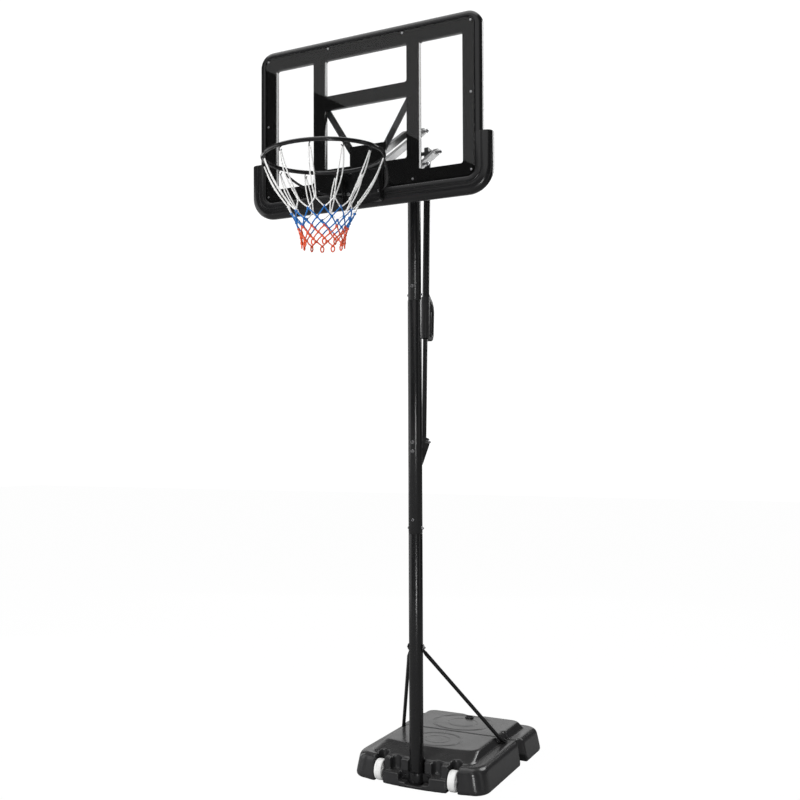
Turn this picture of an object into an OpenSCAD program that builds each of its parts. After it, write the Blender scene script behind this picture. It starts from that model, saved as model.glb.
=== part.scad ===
// Portable basketball hoop with a parallelogram height adjuster.
// Millimetres. +Z is up, -Y is the playing side, +X is the player's right.
// The origin is on the floor, under the middle of the whole hoop.

/* [Base] */
// Half width of the tanks at the floor
base_half_w = 323; // [316:1:330]
// Height of the flat top of the tanks
base_h = 150; // [142:1:160]
// How far the rear tank reaches behind the post
base_rear = 872; // [860:1:900]
// Radius of the transport wheels
wheel_r = 48; // [44:1:50]
// Sideways place of each wheel
wheel_x = 177; // [170:1:180]

/* [Post] */
// Outer diameter of the lower and middle post tubes
pole_d = 63.5; // [62:0.5:66]
// Outer diameter of the top post tube
pole_top_d = 60; // [59:0.5:60.5]
// Height of the lower sleeve joint
joint_low_z = 1143; // [1100:1:1180]
// Height of the upper sleeve joint
joint_up_z = 2210; // [2180:1:2230]
// Height of the struts' bolt on the post
strut_z = 628; // [600:1:650]

/* [Arms] */
// Height of the lower arms' pivot on the post
arm_z = 2834; // [2830:1:2836]
// Height between the lower and upper pivots
arm_gap = 150; // [148:1:152]
// Length of an arm between its pivots
arm_len = 529; // [527:1:531]
// Length of the lower arms' rear crank
crank_len = 195; // [194:1:196]

/* [Backboard] */
// Width of the backboard frame
board_w = 1011; // [1000:1:1020]
// Height of the backboard frame
board_h = 694; // [690:1:700]
// Width of the bottom guard
guard_w = 1091; // [1081:1:1101]
// How far the guard reaches below the frame
guard_drop = 40; // [36:1:44]

/* [Rim] */
// Inside diameter of the ring
rim_d = 450; // [445:1:460]
// Diameter of the ring's rod
rim_rod_d = 16; // [16:0.5:17]
// Distance from the board's face to the ring's centre
rim_reach = 372; // [368:1:380]
// Height of the ring's rod above the floor
rim_z = 2648; // [2645:1:2652]
// Length of the net below the ring
net_len = 355; // [345:5:400]

/* [Hidden] */

$fn = 48;
black = "#232323";
satin = "#2c2c2c";
zinc = "#b9bcc0";

// Arms' slope below level in the lowest setting
arm_tilt = 30;
// Radial clearance of a turning joint, and of a hole round a fixed pin
run = 0.08;
bolt_r = 4;
bolt_hole_r = bolt_r + 0.1;
plate_hole_r = bolt_r + 0.15;

// Places in the post's own frame: the post stands on x = 0, y = 0
board_y = -541;
board_top = 3266;
board_bottom = board_top - board_h;
frame_depth = 33;
frame_back = board_y + frame_depth;
rim_centre_y = board_y - rim_reach;
rim_rod_r = rim_rod_d / 2;
rim_path_r = rim_d / 2 + rim_rod_r;
pole_y = (rim_path_r + rim_rod_r - rim_centre_y - base_rear) / 2;

upper_z = arm_z + arm_gap;
front_y = -arm_len * cos(arm_tilt);
front_drop = arm_len * sin(arm_tilt);
rear_y = crank_len * cos(arm_tilt);
rear_z = arm_z + crank_len * sin(arm_tilt);

// Telescopic adjuster: from its foot on the post to the arms' rear bolt
foot_y = 107;
foot_z = 1560;
lean = atan2(rear_y - foot_y, rear_z - foot_z);
adjust_len = norm([rear_y - foot_y, rear_z - foot_z]);

arm_x = 44;
arm_t = 20;
arm_h = 30;
pivot_r = 5;
pin_hole_r = pivot_r + 0.05;
bracket_x = 57;
bracket_t = 4;

// ---------- helpers ----------
module at_post() { translate([0, pole_y, 0]) children(); }
module both_sides() { for (s = [-1, 1]) scale([s, 1, 1]) children(); }
module x_rod(r, x0, x1) { translate([x0, 0, 0]) rotate([0, 90, 0]) cylinder(r = r, h = x1 - x0); }
module y_rod(r, y0, y1) { translate([0, y1, 0]) rotate([90, 0, 0]) cylinder(r = r, h = y1 - y0); }
module tube(d, wall, z0, z1) {
  translate([0, 0, z0]) difference() {
    cylinder(d = d, h = z1 - z0);
    translate([0, 0, -1]) cylinder(d = d - 2 * wall, h = z1 - z0 + 2);
  }
}
// Outline in the X-Z plane, given thickness towards the player from y_back
module xz_slab(y_back, t) { translate([0, y_back, 0]) rotate([90, 0, 0]) linear_extrude(t) children(); }
module round_rect(x0, z0, x1, z1, r) {
  translate([x0 + r, z0]) square([x1 - x0 - 2 * r, z1 - z0]);
  translate([x0, z0 + r]) square([x1 - x0, z1 - z0 - 2 * r]);
  for (x = [x0 + r, x1 - r], z = [z0 + r, z1 - r]) translate([x, z]) circle(r);
}
// Hexagon head along +X with its base at x = 0
module hex_x(af, h) { rotate([0, 90, 0]) cylinder(d = af / cos(30), h = h, $fn = 6); }
// Through bolt along X: head on the left, nut and thread end on the right
module bolt_x(r, x0, x1, af) {
  x_rod(r, x0 - 1, x1 + af * 0.75);
  translate([x0, 0, 0]) rotate([0, 180, 0]) hex_x(af, af * 0.42);
  translate([x1, 0, 0]) hex_x(af, af * 0.5);
}
// Through bolt along Y: head on the playing side
module bolt_y(r, y0, y1, af) {
  rotate([0, 0, 90]) bolt_x(r, y0, y1, af);
}

// Round tube of radius r swept along a list of points
function unit(v) = v / norm(v);
function path_dir(p, i) = unit(p[min(i + 1, len(p) - 1)] - p[max(i - 1, 0)]);
function ring_at(p, i, r, n) =
  let (d = path_dir(p, i), a = unit(cross(d, abs(d.z) < 0.9 ? [0, 0, 1] : [0, 1, 0])), b = cross(d, a))
  [for (k = [0 : n - 1]) p[i] + r * (cos(k * 360 / n) * a + sin(k * 360 / n) * b)];
module swept_tube(p, r, n) {
  last = len(p) - 1;
  polyhedron(
    points = [for (i = [0 : last]) each ring_at(p, i, r, n)],
    faces = concat(
      [[for (k = [0 : n - 1]) k]],
      [for (i = [0 : last - 1], k = [0 : n - 1])
        [i * n + k, i * n + (k + n - 1) % n, (i + 1) * n + (k + n - 1) % n, (i + 1) * n + k]],
      [[for (k = [n - 1 : -1 : 0]) last * n + k]]));
}

// ---------- base ----------
front_arc_r = 880;
// Foremost point of the front tank, in the post's frame
tank_front = -50;
lap_y = 434;
front_tank_end = 548;
rear_tank_start = 552;
shoulder_z = 120;
skirt_z = 108;
notch_r = 38;
foot_ledge = 14;
band_z = 58;
fill_front = [-60, 172];
fill_rear = [0, 712];
strut_foot = [256, 484];

// Front tank outline: side inset, front inset and rear edge
module front_outline(inset, front_inset, y_end) {
  w = base_half_w - inset;
  intersection() {
    translate([0, front_arc_r + tank_front + front_inset]) circle(front_arc_r, $fn = 180);
    union() {
      round_rect(-w, tank_front + 28 + front_inset, w, y_end + 60, 60);
      translate([-w + 60, tank_front]) square([2 * w - 120, 300]);
    }
    translate([-w, tank_front]) square([2 * w, y_end - tank_front]);
  }
}
module rear_outline(inset, rear_inset, y0) {
  w = base_half_w + 10 - inset;
  intersection() {
    round_rect(-w, y0 - 80, w, base_rear - rear_inset, 52);
    translate([-w, y0]) square([2 * w, base_rear - y0]);
  }
}
module slice(z, t = 1) { translate([0, 0, z]) linear_extrude(t) children(); }

module front_cavity(g) {
  translate([0, 424 - g, 0]) rotate([90, 0, 0]) linear_extrude(274 - 2 * g)
    polygon([[-286 + g, 9 + g], [286 - g, 9 + g], [266 - g, 100 - g], [232 - g, 112 - g],
      [212 - g, base_h - 12 - g], [-212 + g, base_h - 12 - g], [-232 + g, 112 - g], [-266 + g, 100 - g]]);
  translate([-236 + g, 423 - g, 48 + g]) cube([472 - 2 * g, 112 + g, 56 - 2 * g]);
}
module rear_cavity(g) {
  difference() {
    translate([0, 846 - g, 0]) rotate([90, 0, 0]) linear_extrude(232 - 2 * g)
      polygon([[-278 + g, 9 + g], [278 - g, 9 + g], [258 - g, 100 - g], [-258 + g, 100 - g]]);
    translate([0, base_rear - 32, 50 - g]) cylinder(r = 84 + g, h = base_h);
  }
  translate([-214 + g, 614 + g, 99 - g]) cube([428 - 2 * g, 140 - 2 * g, base_h - 111]);
}
module wheel_wells() {
  both_sides() translate([wheel_x, wheel_y, wheel_z]) {
    x_rod(wheel_r + 14, -well_half, well_half);
    translate([-well_half, -90, -wheel_z - 1]) cube([2 * well_half, 90 + wheel_r + 14, wheel_z + 1]);
    // Arch above each wheel, open towards the front
    translate([-well_half, -90, -1]) cube([2 * well_half, 90 + 46, 74]);
    translate([0, 0, 73]) y_rod(well_half, -90, 46);
    x_rod(bolt_hole_r, -42, 42);
  }
}
wheel_y = 5;
well_half = 25;
well_inner = wheel_x - well_half;
wheel_z = wheel_r + 2;

module base_front_tank() {
  color("#3a3a3a") at_post() difference() {
    union() {
      hull() {
        slice(0) front_outline(0, 0, front_tank_end);
        slice(skirt_z - 1) front_outline(18, 12, front_tank_end);
      }
      hull() {
        slice(skirt_z - 1) front_outline(18, 12, front_tank_end);
        slice(shoulder_z - 1) front_outline(40, 30, front_tank_end);
      }
      hull() {
        slice(shoulder_z - 1) front_outline(77, 62, lap_y);
        slice(base_h - 1) front_outline(97, 180, lap_y);
      }
    }
    wheel_wells();
    translate([0, 0, foot_ledge]) cylinder(r = notch_r, h = base_h);
    translate([-notch_r, -60, foot_ledge]) cube([2 * notch_r, 60, base_h]);
    // Between the wheels the front steps back above a low band, with a pocket for the post's saddle
    translate([-well_inner, tank_front - 10, band_z]) cube([2 * well_inner, 44, base_h]);
    translate([-72, tank_front - 10, 24]) cube([144, -tank_front + 4, base_h]);
    both_sides() translate([98, -8, band_z + 2]) {
      translate([-24, -30, 0]) cube([48, 66, 56]);
      translate([0, 0, 56]) y_rod(24, -30, 36);
    }
    translate([0, 568, 0]) x_rod(44, -400, 400);
    waist_scoops();
    front_cavity(0);
    translate([fill_front.x, fill_front.y, base_h - 20]) cylinder(r = 17, h = 40);
    lug_places() translate([0, 0, 110.5]) cylinder(r = 12.3, h = 20);
    foot_bolt_places() y_rod(bolt_hole_r, -20, 70);
    strut_foot_places() translate([0, 0, 96]) cylinder(r = bolt_hole_r, h = 60);
  }
}
module base_rear_tank() {
  color("#3a3a3a") at_post() difference() {
    union() {
      hull() {
        slice(0) rear_outline(0, 0, rear_tank_start);
        slice(skirt_z - 1) rear_outline(18, 10, rear_tank_start);
      }
      hull() {
        slice(skirt_z - 1) rear_outline(18, 10, rear_tank_start);
        slice(shoulder_z - 1) rear_outline(40, 26, rear_tank_start);
      }
      hull() {
        slice(shoulder_z - 1) rear_outline(87, 60, rear_tank_start);
        slice(base_h - 1) rear_outline(107, 88, rear_tank_start);
      }
      hull() {
        translate([-246, lap_y + 0.3, shoulder_z + 0.3]) cube([492, rear_tank_start - lap_y + 20, 1]);
        translate([-226, lap_y + 0.3, base_h - 1]) cube([452, rear_tank_start - lap_y + 20, 1]);
      }
      lug_places() translate([0, 0, 111]) cylinder(r = 12, h = 12);
    }
    waist_scoops();
    translate([0, 568, 0]) x_rod(44, -400, 400);
    translate([0, base_rear - 32, 60]) cylinder(r = 74, h = base_h);
    rear_cavity(0);
    translate([fill_rear.x, fill_rear.y, base_h - 20]) cylinder(r = 17, h = 40);
  }
}
// Moulded lugs under the rear tank's lap sit in holes of the front tank
module lug_places() { for (x = [-130, 130]) translate([x, 500, 0]) children(); }
module waist_scoops() {
  both_sides() translate([base_half_w + 3, 560, -1]) cylinder(r = 36, h = base_h + 2);
}
module water_front() { color("lightblue") at_post() front_cavity(0.5); }
module water_rear() { color("lightblue") at_post() rear_cavity(0.5); }
module fill_cap(p) {
  translate([p.x, p.y, base_h + 0.3]) difference() {
    union() {
      cylinder(r = 22, h = 6);
      translate([0, 0, -12]) cylinder(r = 16.5, h = 13);
      translate([-16, -2.5, 5]) cube([32, 5, 7]);
    }
    translate([0, 0, -13]) cylinder(r = 13, h = 12);
  }
}
module fill_cap_front() { color(black) at_post() fill_cap(fill_front); }
module fill_cap_rear() { color(black) at_post() fill_cap(fill_rear); }

module wheel(s) {
  color("white") at_post() translate([s * wheel_x, wheel_y, wheel_z]) difference() {
    x_rod(wheel_r, -17, 17);
    for (d = [-1, 1]) scale([d, 1, 1]) translate([11, 0, 0]) difference() {
      x_rod(wheel_r - 8, 0, 7);
      x_rod(12, -1, 8);
    }
    x_rod(4.08, -18, 18);
  }
}
module wheel_left() { wheel(-1); }
module wheel_right() { wheel(1); }
module wheel_axles() {
  color(zinc) at_post() both_sides() translate([wheel_x, wheel_y, wheel_z]) x_rod(4, -41, 41);
}
module axle_caps() {
  color(zinc) at_post() both_sides() translate([wheel_x, wheel_y, wheel_z])
    for (s = [-1, 1]) scale([s, 1, 1]) difference() {
      x_rod(8, 19, 24);
      x_rod(4.05, 18, 25);
    }
}

// ---------- post ----------
sleeve = 120;
neck_wall = 1.6;
module joint_bolt_places(z) {
  translate([0, 0, z + 62]) rotate([0, 0, 90]) children();
  translate([0, 0, z + 24]) children();
}
module x_bore(r) { x_rod(r, -60, 60); }
module y_bore(r) { y_rod(r, -60, 60); }
module pole_lower() {
  color(satin) at_post() difference() {
    union() {
      tube(pole_d, 1.6, foot_ledge, joint_low_z);
      tube(pole_d - 3.4, neck_wall, joint_low_z - 30, joint_low_z + sleeve);
      tube(pole_d - 1, 2.5, joint_low_z - 30, joint_low_z);
    }
    joint_bolt_places(joint_low_z) x_bore(bolt_hole_r);
    translate([0, 0, strut_z]) x_bore(bolt_hole_r);
    for (z = foot_bolt_z) translate([0, 0, z]) y_bore(bolt_hole_r);
  }
}
module pole_middle() {
  color(satin) at_post() difference() {
    union() {
      tube(pole_d, 1.6, joint_low_z, joint_up_z);
      tube(pole_top_d - 3.2, neck_wall, joint_up_z - 30, joint_up_z + sleeve);
      tube(pole_d - 1, (pole_d - pole_top_d + 6) / 2, joint_up_z - 30, joint_up_z);
    }
    joint_bolt_places(joint_low_z) x_bore(bolt_hole_r);
    joint_bolt_places(joint_up_z) x_bore(bolt_hole_r);
    for (z = bracket_bolt_z) translate([0, 0, z]) y_bore(bolt_hole_r);
  }
}
pole_top_z = upper_z + 34;
module pole_upper() {
  color(satin) at_post() difference() {
    tube(pole_top_d, 1.5, joint_up_z, pole_top_z);
    joint_bolt_places(joint_up_z) x_bore(bolt_hole_r);
    for (z = [arm_z, upper_z]) translate([0, 0, z]) x_bore(pin_hole_r);
  }
}
module pole_top_cap() {
  color(black) at_post() {
    translate([0, 0, pole_top_z]) cylinder(d = pole_top_d + 2, h = 4);
    translate([0, 0, pole_top_z - 16]) cylinder(d = pole_top_d - 3.2, h = 17);
  }
}
module pole_joint_bolts() {
  color(zinc) at_post() {
    joint_bolt_places(joint_low_z) bolt_x(bolt_r, -pole_d / 2, pole_d / 2, 11);
    joint_bolt_places(joint_up_z) bolt_x(bolt_r, -pole_top_d / 2, pole_top_d / 2, 11);
  }
}

// Steel saddle round the front of the post's foot, bolted to the tank on both sides
foot_bolt_z = [30, 62];
module foot_bolt_places() { both_sides() translate([pole_d / 2 + 24.25, 0, 46]) children(); }
module pole_foot_bracket() {
  color(black) at_post() difference() {
    union() {
      translate([0, 0, 26]) difference() {
        cylinder(r = pole_d / 2 + 4, h = 40);
        translate([0, 0, -1]) cylinder(r = pole_d / 2 + 0.1, h = 42);
        translate([-60, -6, -1]) cube([120, 60, 42]);
      }
      both_sides() translate([pole_d / 2 + 0.2, -10, 26]) cube([36, 4, 40]);
    }
    foot_bolt_places() y_rod(bolt_hole_r, -30, 30);
    for (z = foot_bolt_z) translate([0, 0, z]) y_bore(bolt_hole_r);
  }
}
module foot_bracket_bolts() {
  color(zinc) at_post() {
    foot_bolt_places() {
      y_rod(4, -11, 40);
      translate([0, -10, 0]) y_rod(8, -4, 0);
    }
    for (z = foot_bolt_z) translate([0, 0, z]) bolt_y(bolt_r, -pole_d / 2 - 4, -pole_d / 2 + 2.5, 11);
  }
}

// Struts: from a cross bolt on the post to the shoulders of the front tank
strut_top_x = pole_d / 2 + 5;
strut_top = [strut_top_x, 4, strut_z];
strut_end = [strut_foot.x, strut_foot.y - 6, shoulder_z + 6];
strut_vec = strut_end - strut_top;
strut_len = norm(strut_vec);
strut_az = atan2(strut_vec.y, strut_vec.x);
strut_el = acos(strut_vec.z / strut_len);
module strut_foot_places() { both_sides() translate([strut_foot.x, strut_foot.y + 8, 0]) children(); }
module strut(s) {
  color(satin) at_post() scale([s, 1, 1]) {
    translate(strut_top) rotate([0, 0, strut_az]) rotate([0, strut_el, 0])
      translate([0, 0, 34]) cylinder(d = 18, h = strut_len - 60);
    difference() {
      hull() {
        translate([pole_d / 2 + 0.5, -12, strut_z - 13]) cube([4, 24, 26]);
        translate(strut_top) rotate([0, 0, strut_az]) rotate([0, strut_el, 0])
          translate([0, 0, 36]) cylinder(d = 17.9, h = 2, $fn = 32);
      }
      translate([0, 0, strut_z]) x_bore(bolt_hole_r);
      translate([pole_d / 2 + 4.5, -9, strut_z - 9]) cube([30, 18, 32]);
    }
    difference() {
      hull() {
        translate([strut_foot.x - 9, strut_foot.y - 24, shoulder_z + 0.1]) cube([18, 8, 4]);
        translate(strut_top) rotate([0, 0, strut_az]) rotate([0, strut_el, 0])
          translate([0, 0, strut_len - 30]) cylinder(d = 17.9, h = 2, $fn = 32);
      }
      translate([0, 0, shoulder_z - 80]) cube([600, 600, 80.1]);
    }
    difference() {
      translate([strut_foot.x - 9, strut_foot.y - 24, shoulder_z + 0.1]) cube([18, 44, 4]);
      translate([strut_foot.x, strut_foot.y + 8, 0]) cylinder(r = bolt_hole_r, h = 300);
    }
  }
}
module strut_left() { strut(-1); }
module strut_right() { strut(1); }
module strut_pole_bolt() {
  color(zinc) at_post() translate([0, 0, strut_z]) bolt_x(bolt_r, -pole_d / 2 - 4.5, pole_d / 2 + 4.5, 13);
}
module strut_base_bolts() {
  color(zinc) at_post() strut_foot_places() {
    translate([0, 0, 98]) cylinder(r = 4, h = 34);
    translate([0, 0, shoulder_z + 4.1]) cylinder(d = 13 / cos(30), h = 5, $fn = 6);
  }
}

// ---------- height adjuster ----------
bracket_bolt_z = [1558, 1517];
module adjuster_bracket() {
  color(satin) at_post() difference() {
    union() {
      translate([-18, pole_d / 2 - 5, 1460]) cube([36, 5 + 3.5, 126]);
      both_sides() translate([18.4, 0, 0]) rotate([90, 0, 90]) linear_extrude(3.6)
        polygon([[pole_d / 2 - 8, 1460], [pole_d / 2 + 4, 1455], [foot_y + 12, 1546],
          [foot_y + 12, 1574], [foot_y - 12, 1578], [pole_d / 2 - 8, 1586]]);
      translate([-19, pole_d / 2 - 0.5, 1460]) cube([38, 4, 126]);
    }
    cylinder(d = pole_d + 0.2, h = 2000);
    for (z = bracket_bolt_z) translate([0, 0, z]) y_bore(bolt_hole_r);
    translate([0, foot_y, foot_z]) x_bore(pin_hole_r);
  }
}
module adjuster_bracket_bolts() {
  color(zinc) at_post() for (z = bracket_bolt_z)
    translate([0, 0, z]) bolt_y(bolt_r, -pole_d / 2, pole_d / 2 + 3.5, 13);
}
module adjuster_foot_bolt() {
  color(zinc) at_post() translate([0, foot_y, foot_z]) bolt_x(pivot_r, -22, 22, 15);
}
// Frame of the leaning adjuster: +Z along the tubes, +Y away from the post
module at_adjuster() { at_post() translate([0, foot_y, foot_z]) rotate([-lean, 0, 0]) children(); }
inner_d = 22;
outer_d = 32;
outer_wall = 1.5;
outer_w0 = 500;
outer_w1 = adjust_len - 32;
inner_w1 = 980;
module adjuster_inner_tube() {
  color(black) at_adjuster() difference() {
    union() {
      tube(inner_d, 1.5, 9, inner_w1);
      x_rod(14, -17, 17);
    }
    x_rod(pivot_r + run, -20, 20);
  }
}
module adjuster_outer_tube() {
  color(satin) at_adjuster() difference() {
    tube(outer_d, outer_wall, outer_w0, outer_w1);
    yoke_pin_places() x_rod(2.6, -30, 30);
  }
}
module yoke_pin_places() { translate([0, 0, outer_w1 - 14]) children(); }
module adjuster_guide_bush() {
  color(black) at_adjuster() for (w = [outer_w0 + 2, outer_w0 + 210]) tube(outer_d - 2 * outer_wall - 0.1,
    (outer_d - 2 * outer_wall - inner_d - 0.8) / 2, w, w + 26);
}
// The slot takes up the sideways and lengthways play of the opened linkage
slot_w = 34;
slot_h = 13.6;
slot_shift = 7;
module adjuster_yoke() {
  color(black) at_adjuster() difference() {
    union() {
      translate([0, 0, outer_w1 - 30]) cylinder(d = outer_d - 2 * outer_wall - 0.1, h = 30);
      translate([0, 0, outer_w1]) cylinder(d = outer_d, h = 4);
      translate([-10, -18, outer_w1 + 3]) cube([20, 50, 52]);
    }
    translate([0, slot_shift, adjust_len]) {
      translate([-20, -(slot_w - slot_h) / 2, -slot_h / 2]) cube([40, slot_w - slot_h, slot_h]);
      for (s = [-1, 1]) translate([0, s * (slot_w - slot_h) / 2, 0]) x_rod(slot_h / 2, -20, 20);
    }
    yoke_pin_places() x_rod(2.6, -30, 30);
  }
}

// D-shaped grip: sleeve on the outer tube, two bridges and a rear bar
grip_w0 = outer_w0 - 14;
grip_w1 = outer_w0 + 172;
trigger_y = 60;
trigger_w = grip_w0 + 18;
trigger_half = 5;
module handle_grip() {
  color(black) at_adjuster() difference() {
    union() {
      tube(outer_d + 9, 4.4, grip_w0, grip_w1 + 10);
      translate([-11, 0, 0]) rotate([90, 0, 90]) linear_extrude(22) difference() {
        polygon([[17, grip_w0], [56, grip_w0 - 6], [72, grip_w0 + 4], [79, grip_w0 + 24],
          [82, grip_w1 - 50], [76, grip_w1 - 26], [60, grip_w1 - 4], [38, grip_w1 + 10],
          [17, grip_w1 + 26]]);
        polygon([[24, grip_w0 + 12], [54, grip_w0 + 8], [66, grip_w0 + 12], [71, grip_w0 + 28],
          [74, grip_w1 - 52], [68, grip_w1 - 38], [52, grip_w1 - 20], [24, grip_w1 - 4]]);
      }
      translate([-11, trigger_y - 8, grip_w0]) cube([22, 16, 26]);
    }
    cylinder(d = outer_d + 0.1, h = 2000);
    translate([-trigger_half - 0.6, trigger_y - 12, grip_w0 + 8]) cube([2 * trigger_half + 1.2, 26, 60]);
    translate([0, trigger_y, trigger_w]) x_rod(2.1, -20, 20);
    for (w = [grip_w0 + 12, grip_w1]) translate([0, 20, w]) x_rod(1.6, -30, 30);
  }
}
module handle_screws() {
  color(zinc) at_adjuster() for (w = [grip_w0 + 12, grip_w1]) translate([0, 20, w]) x_rod(1.5, -14, 14);
}
// Plate that grips the inner tube just under the outer tube, and its spring
module lock_plate() {
  color(zinc) at_adjuster() translate([0, 0, outer_w0 - 9]) difference() {
    cylinder(d = outer_d - 0.6, h = 3);
    cylinder(d = inner_d + 0.7, h = 20, center = true);
  }
}
spring_r = inner_d / 2 + 2;
spring_turns = 2.5;
module lock_spring() {
  color(zinc) at_adjuster() swept_tube([for (k = [0 : 30]) let (a = k / 30 * 360 * spring_turns)
    [spring_r * cos(a), spring_r * sin(a), outer_w0 - 5.4 + 4.8 * k / 30]], 0.5, 6);
}
trigger_len = 116;
module trigger_lever() {
  color(black) at_adjuster() difference() {
    translate([-trigger_half, trigger_y, trigger_w]) rotate([90, 0, 90])
      linear_extrude(2 * trigger_half) union() {
        circle(6);
        polygon([[-5, 0], [5, 0], [3, 40], [3, trigger_len - 20], [6, trigger_len], [-6, trigger_len],
          [-6, trigger_len - 24], [-4, 40]]);
      }
    translate([0, trigger_y, trigger_w]) x_rod(2.06, -20, 20);
  }
}
module trigger_pin() {
  color(zinc) at_adjuster() translate([0, trigger_y, trigger_w]) x_rod(2, -11, 11);
}

// ---------- arms ----------
// Arm with round ends, drawn along -Y from its pivot, then tilted down
module arm_bar(len, back) {
  rotate([0, 90, 0]) linear_extrude(arm_t, center = true) difference() {
    union() {
      translate([-arm_h / 2, -len]) square([arm_h, len + back]);
      translate([0, -len]) circle(arm_h / 2);
      translate([0, back]) circle(arm_h / 2);
    }
    for (y = [-len, 0]) translate([0, y]) circle(pivot_r + run);
    if (back > 0) translate([0, back]) circle(pin_hole_r);
  }
}
module arm(s, z, back) {
  color("#4a4a4a") at_post() translate([s * arm_x, 0, z]) rotate([arm_tilt, 0, 0])
    arm_bar(arm_len, back);
}
module lower_arm_left() { arm(-1, arm_z, crank_len); }
module lower_arm_right() { arm(1, arm_z, crank_len); }
module upper_arm_left() { arm(-1, upper_z, 0); }
module upper_arm_right() { arm(1, upper_z, 0); }
module arm_rear_bolt() {
  color(zinc) at_post() translate([0, rear_y, rear_z]) {
    x_rod(4, -12, 12);
    difference() {
      bolt_x(pivot_r, -arm_x - arm_t / 2, arm_x + arm_t / 2 + 8, 16);
      x_rod(8, -11, 11);
    }
  }
}
module arm_rear_spacers() {
  color(black) at_post() translate([0, rear_y, rear_z]) both_sides() difference() {
    x_rod(9, 12, arm_x - arm_t / 2 - 0.1);
    x_rod(pin_hole_r, 11, 60);
  }
}
module arm_pivot_bolts() {
  color(zinc) at_post() for (z = [arm_z, upper_z]) translate([0, 0, z])
    bolt_x(pivot_r, -arm_x - arm_t / 2 - 1, arm_x + arm_t / 2 + 9, 16);
}
module arm_pivot_washers() {
  color(black) at_post() for (z = [arm_z, upper_z]) translate([0, 0, z]) both_sides() difference() {
    x_rod(12, pole_top_d / 2 + 0.2, arm_x - arm_t / 2 - 0.3);
    x_rod(pin_hole_r, 20, 60);
  }
}

// ---------- backboard ----------
frame_r = 62;
lip = 30;
sheet_t = 4;
sheet_gap = 3.5;
win_r = 9;
win_in = 187;
bar_out = 241;
win_out = 426;
win_top = 3183;
win_low = 2657;
mid_bar = [2968, 3025];
target_low = 2711;
module windows() {
  for (s = [-1, 1]) scale([s, 1]) round_rect(bar_out, win_low, win_out, win_top, win_r);
  round_rect(-win_in, mid_bar[1], win_in, win_top, win_r);
  round_rect(-win_in, target_low, win_in, mid_bar[0], win_r);
}
module frame_face(inset) {
  w = board_w / 2 - inset;
  round_rect(-w, board_bottom + inset, w, board_top - inset, frame_r - inset);
}
// Pockets in the back of the moulded frame leave ribbed channels
pocket_wall = 4;
module frame_pockets() {
  w = pocket_wall;
  side = board_w / 2;
  for (s = [-1, 1]) scale([s, 1]) {
    translate([win_out + w, win_low]) square([side - win_out - 2 * w, win_top - win_low]);
    translate([win_in + w, win_low + 60]) square([bar_out - win_in - 2 * w, mid_bar[0] - win_low - 70]);
    translate([win_in + w, mid_bar[1] + 10]) square([bar_out - win_in - 2 * w, win_top - mid_bar[1] - 20]);
    translate([bar_out + w, win_top + w]) square([win_out - bar_out - 2 * w, board_top - win_top - 2 * w]);
    translate([bar_out + w, board_bottom + w + guard_lap])
      square([win_out - bar_out - 2 * w, win_low - board_bottom - 2 * w - guard_lap]);
  }
  translate([-win_in + w, mid_bar[0] + w]) square([2 * (win_in - w), mid_bar[1] - mid_bar[0] - 2 * w]);
  translate([-win_in + w, win_top + w]) square([2 * (win_in - w), board_top - win_top - 2 * w]);
}
screw_inset = 44;
module sheet_screw_places() {
  x = board_w / 2 - screw_inset;
  z1 = board_top - screw_inset;
  z0 = board_bottom + screw_inset + 10;
  for (p = [[-x, z1], [-170, z1 + 5], [170, z1 + 5], [x, z1], [-x, 2935], [x, 2935],
    [-x, z0], [-214, z0 - 6], [214, z0 - 6], [x, z0]])
    translate([p.x, board_y, p.y]) children();
}
module backboard_frame() {
  color(black) at_post() difference() {
    xz_slab(frame_back, frame_depth) frame_face(0);
    xz_slab(board_y + sheet_t + sheet_gap, 20) frame_face(lip - 0.5);
    xz_slab(frame_back + 1, frame_depth + 10) windows();
    xz_slab(frame_back + 1, frame_depth - 11) frame_pockets();
    sheet_screw_places() y_rod(2.1, -2, 60);
    back_plate_bolts() y_rod(plate_hole_r, board_y - 40, frame_back + 40);
    support_bolt_places() y_rod(3.1, frame_back - 16, frame_back + 40);
  }
}
module backboard_sheet() {
  color([0.75, 0.8, 0.82, 0.4]) at_post() difference() {
    xz_slab(board_y + sheet_t + sheet_gap, sheet_t) frame_face(lip);
    sheet_screw_places() y_rod(2.1, -2, 60);
    back_plate_bolts() y_rod(plate_hole_r, board_y - 40, frame_back + 40);
  }
}
module sheet_screws() {
  color(zinc) at_post() sheet_screw_places() {
    y_rod(2, sheet_gap - 1, 20);
    y_rod(4.5, sheet_gap - 2.5, sheet_gap);
  }
}
guard_top = 2773;
guard_r = 86;
guard_lap = 24;
module guard_face(inset) {
  w = guard_w / 2 - inset;
  round_rect(-w, board_bottom - guard_drop + inset, w, guard_top + 200, guard_r - inset);
}
module bottom_guard() {
  w = board_w / 2;
  color(black) at_post() difference() {
    xz_slab(frame_back + 5, frame_depth + 12) difference() {
      guard_face(0);
      round_rect(-w + guard_lap, board_bottom + guard_lap, w - guard_lap, guard_top + 300, 44);
      for (s = [-1, 1]) scale([s, 1]) translate([w - 60, guard_top]) square([200, 300]);
    }
    xz_slab(frame_back + 0.2, frame_depth + 0.4) frame_face(-0.2);
    // Cut-outs for the plates behind and in front of the board
    translate([-plate_w / 2 - 1, board_y - 20, board_bottom - guard_drop - 1]) cube([plate_w + 2, 19.8, 96]);
    translate([-back_w / 2 - 1, frame_back + 0.1, board_bottom - 4]) cube([back_w + 2, 30, 60]);
  }
}

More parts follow.
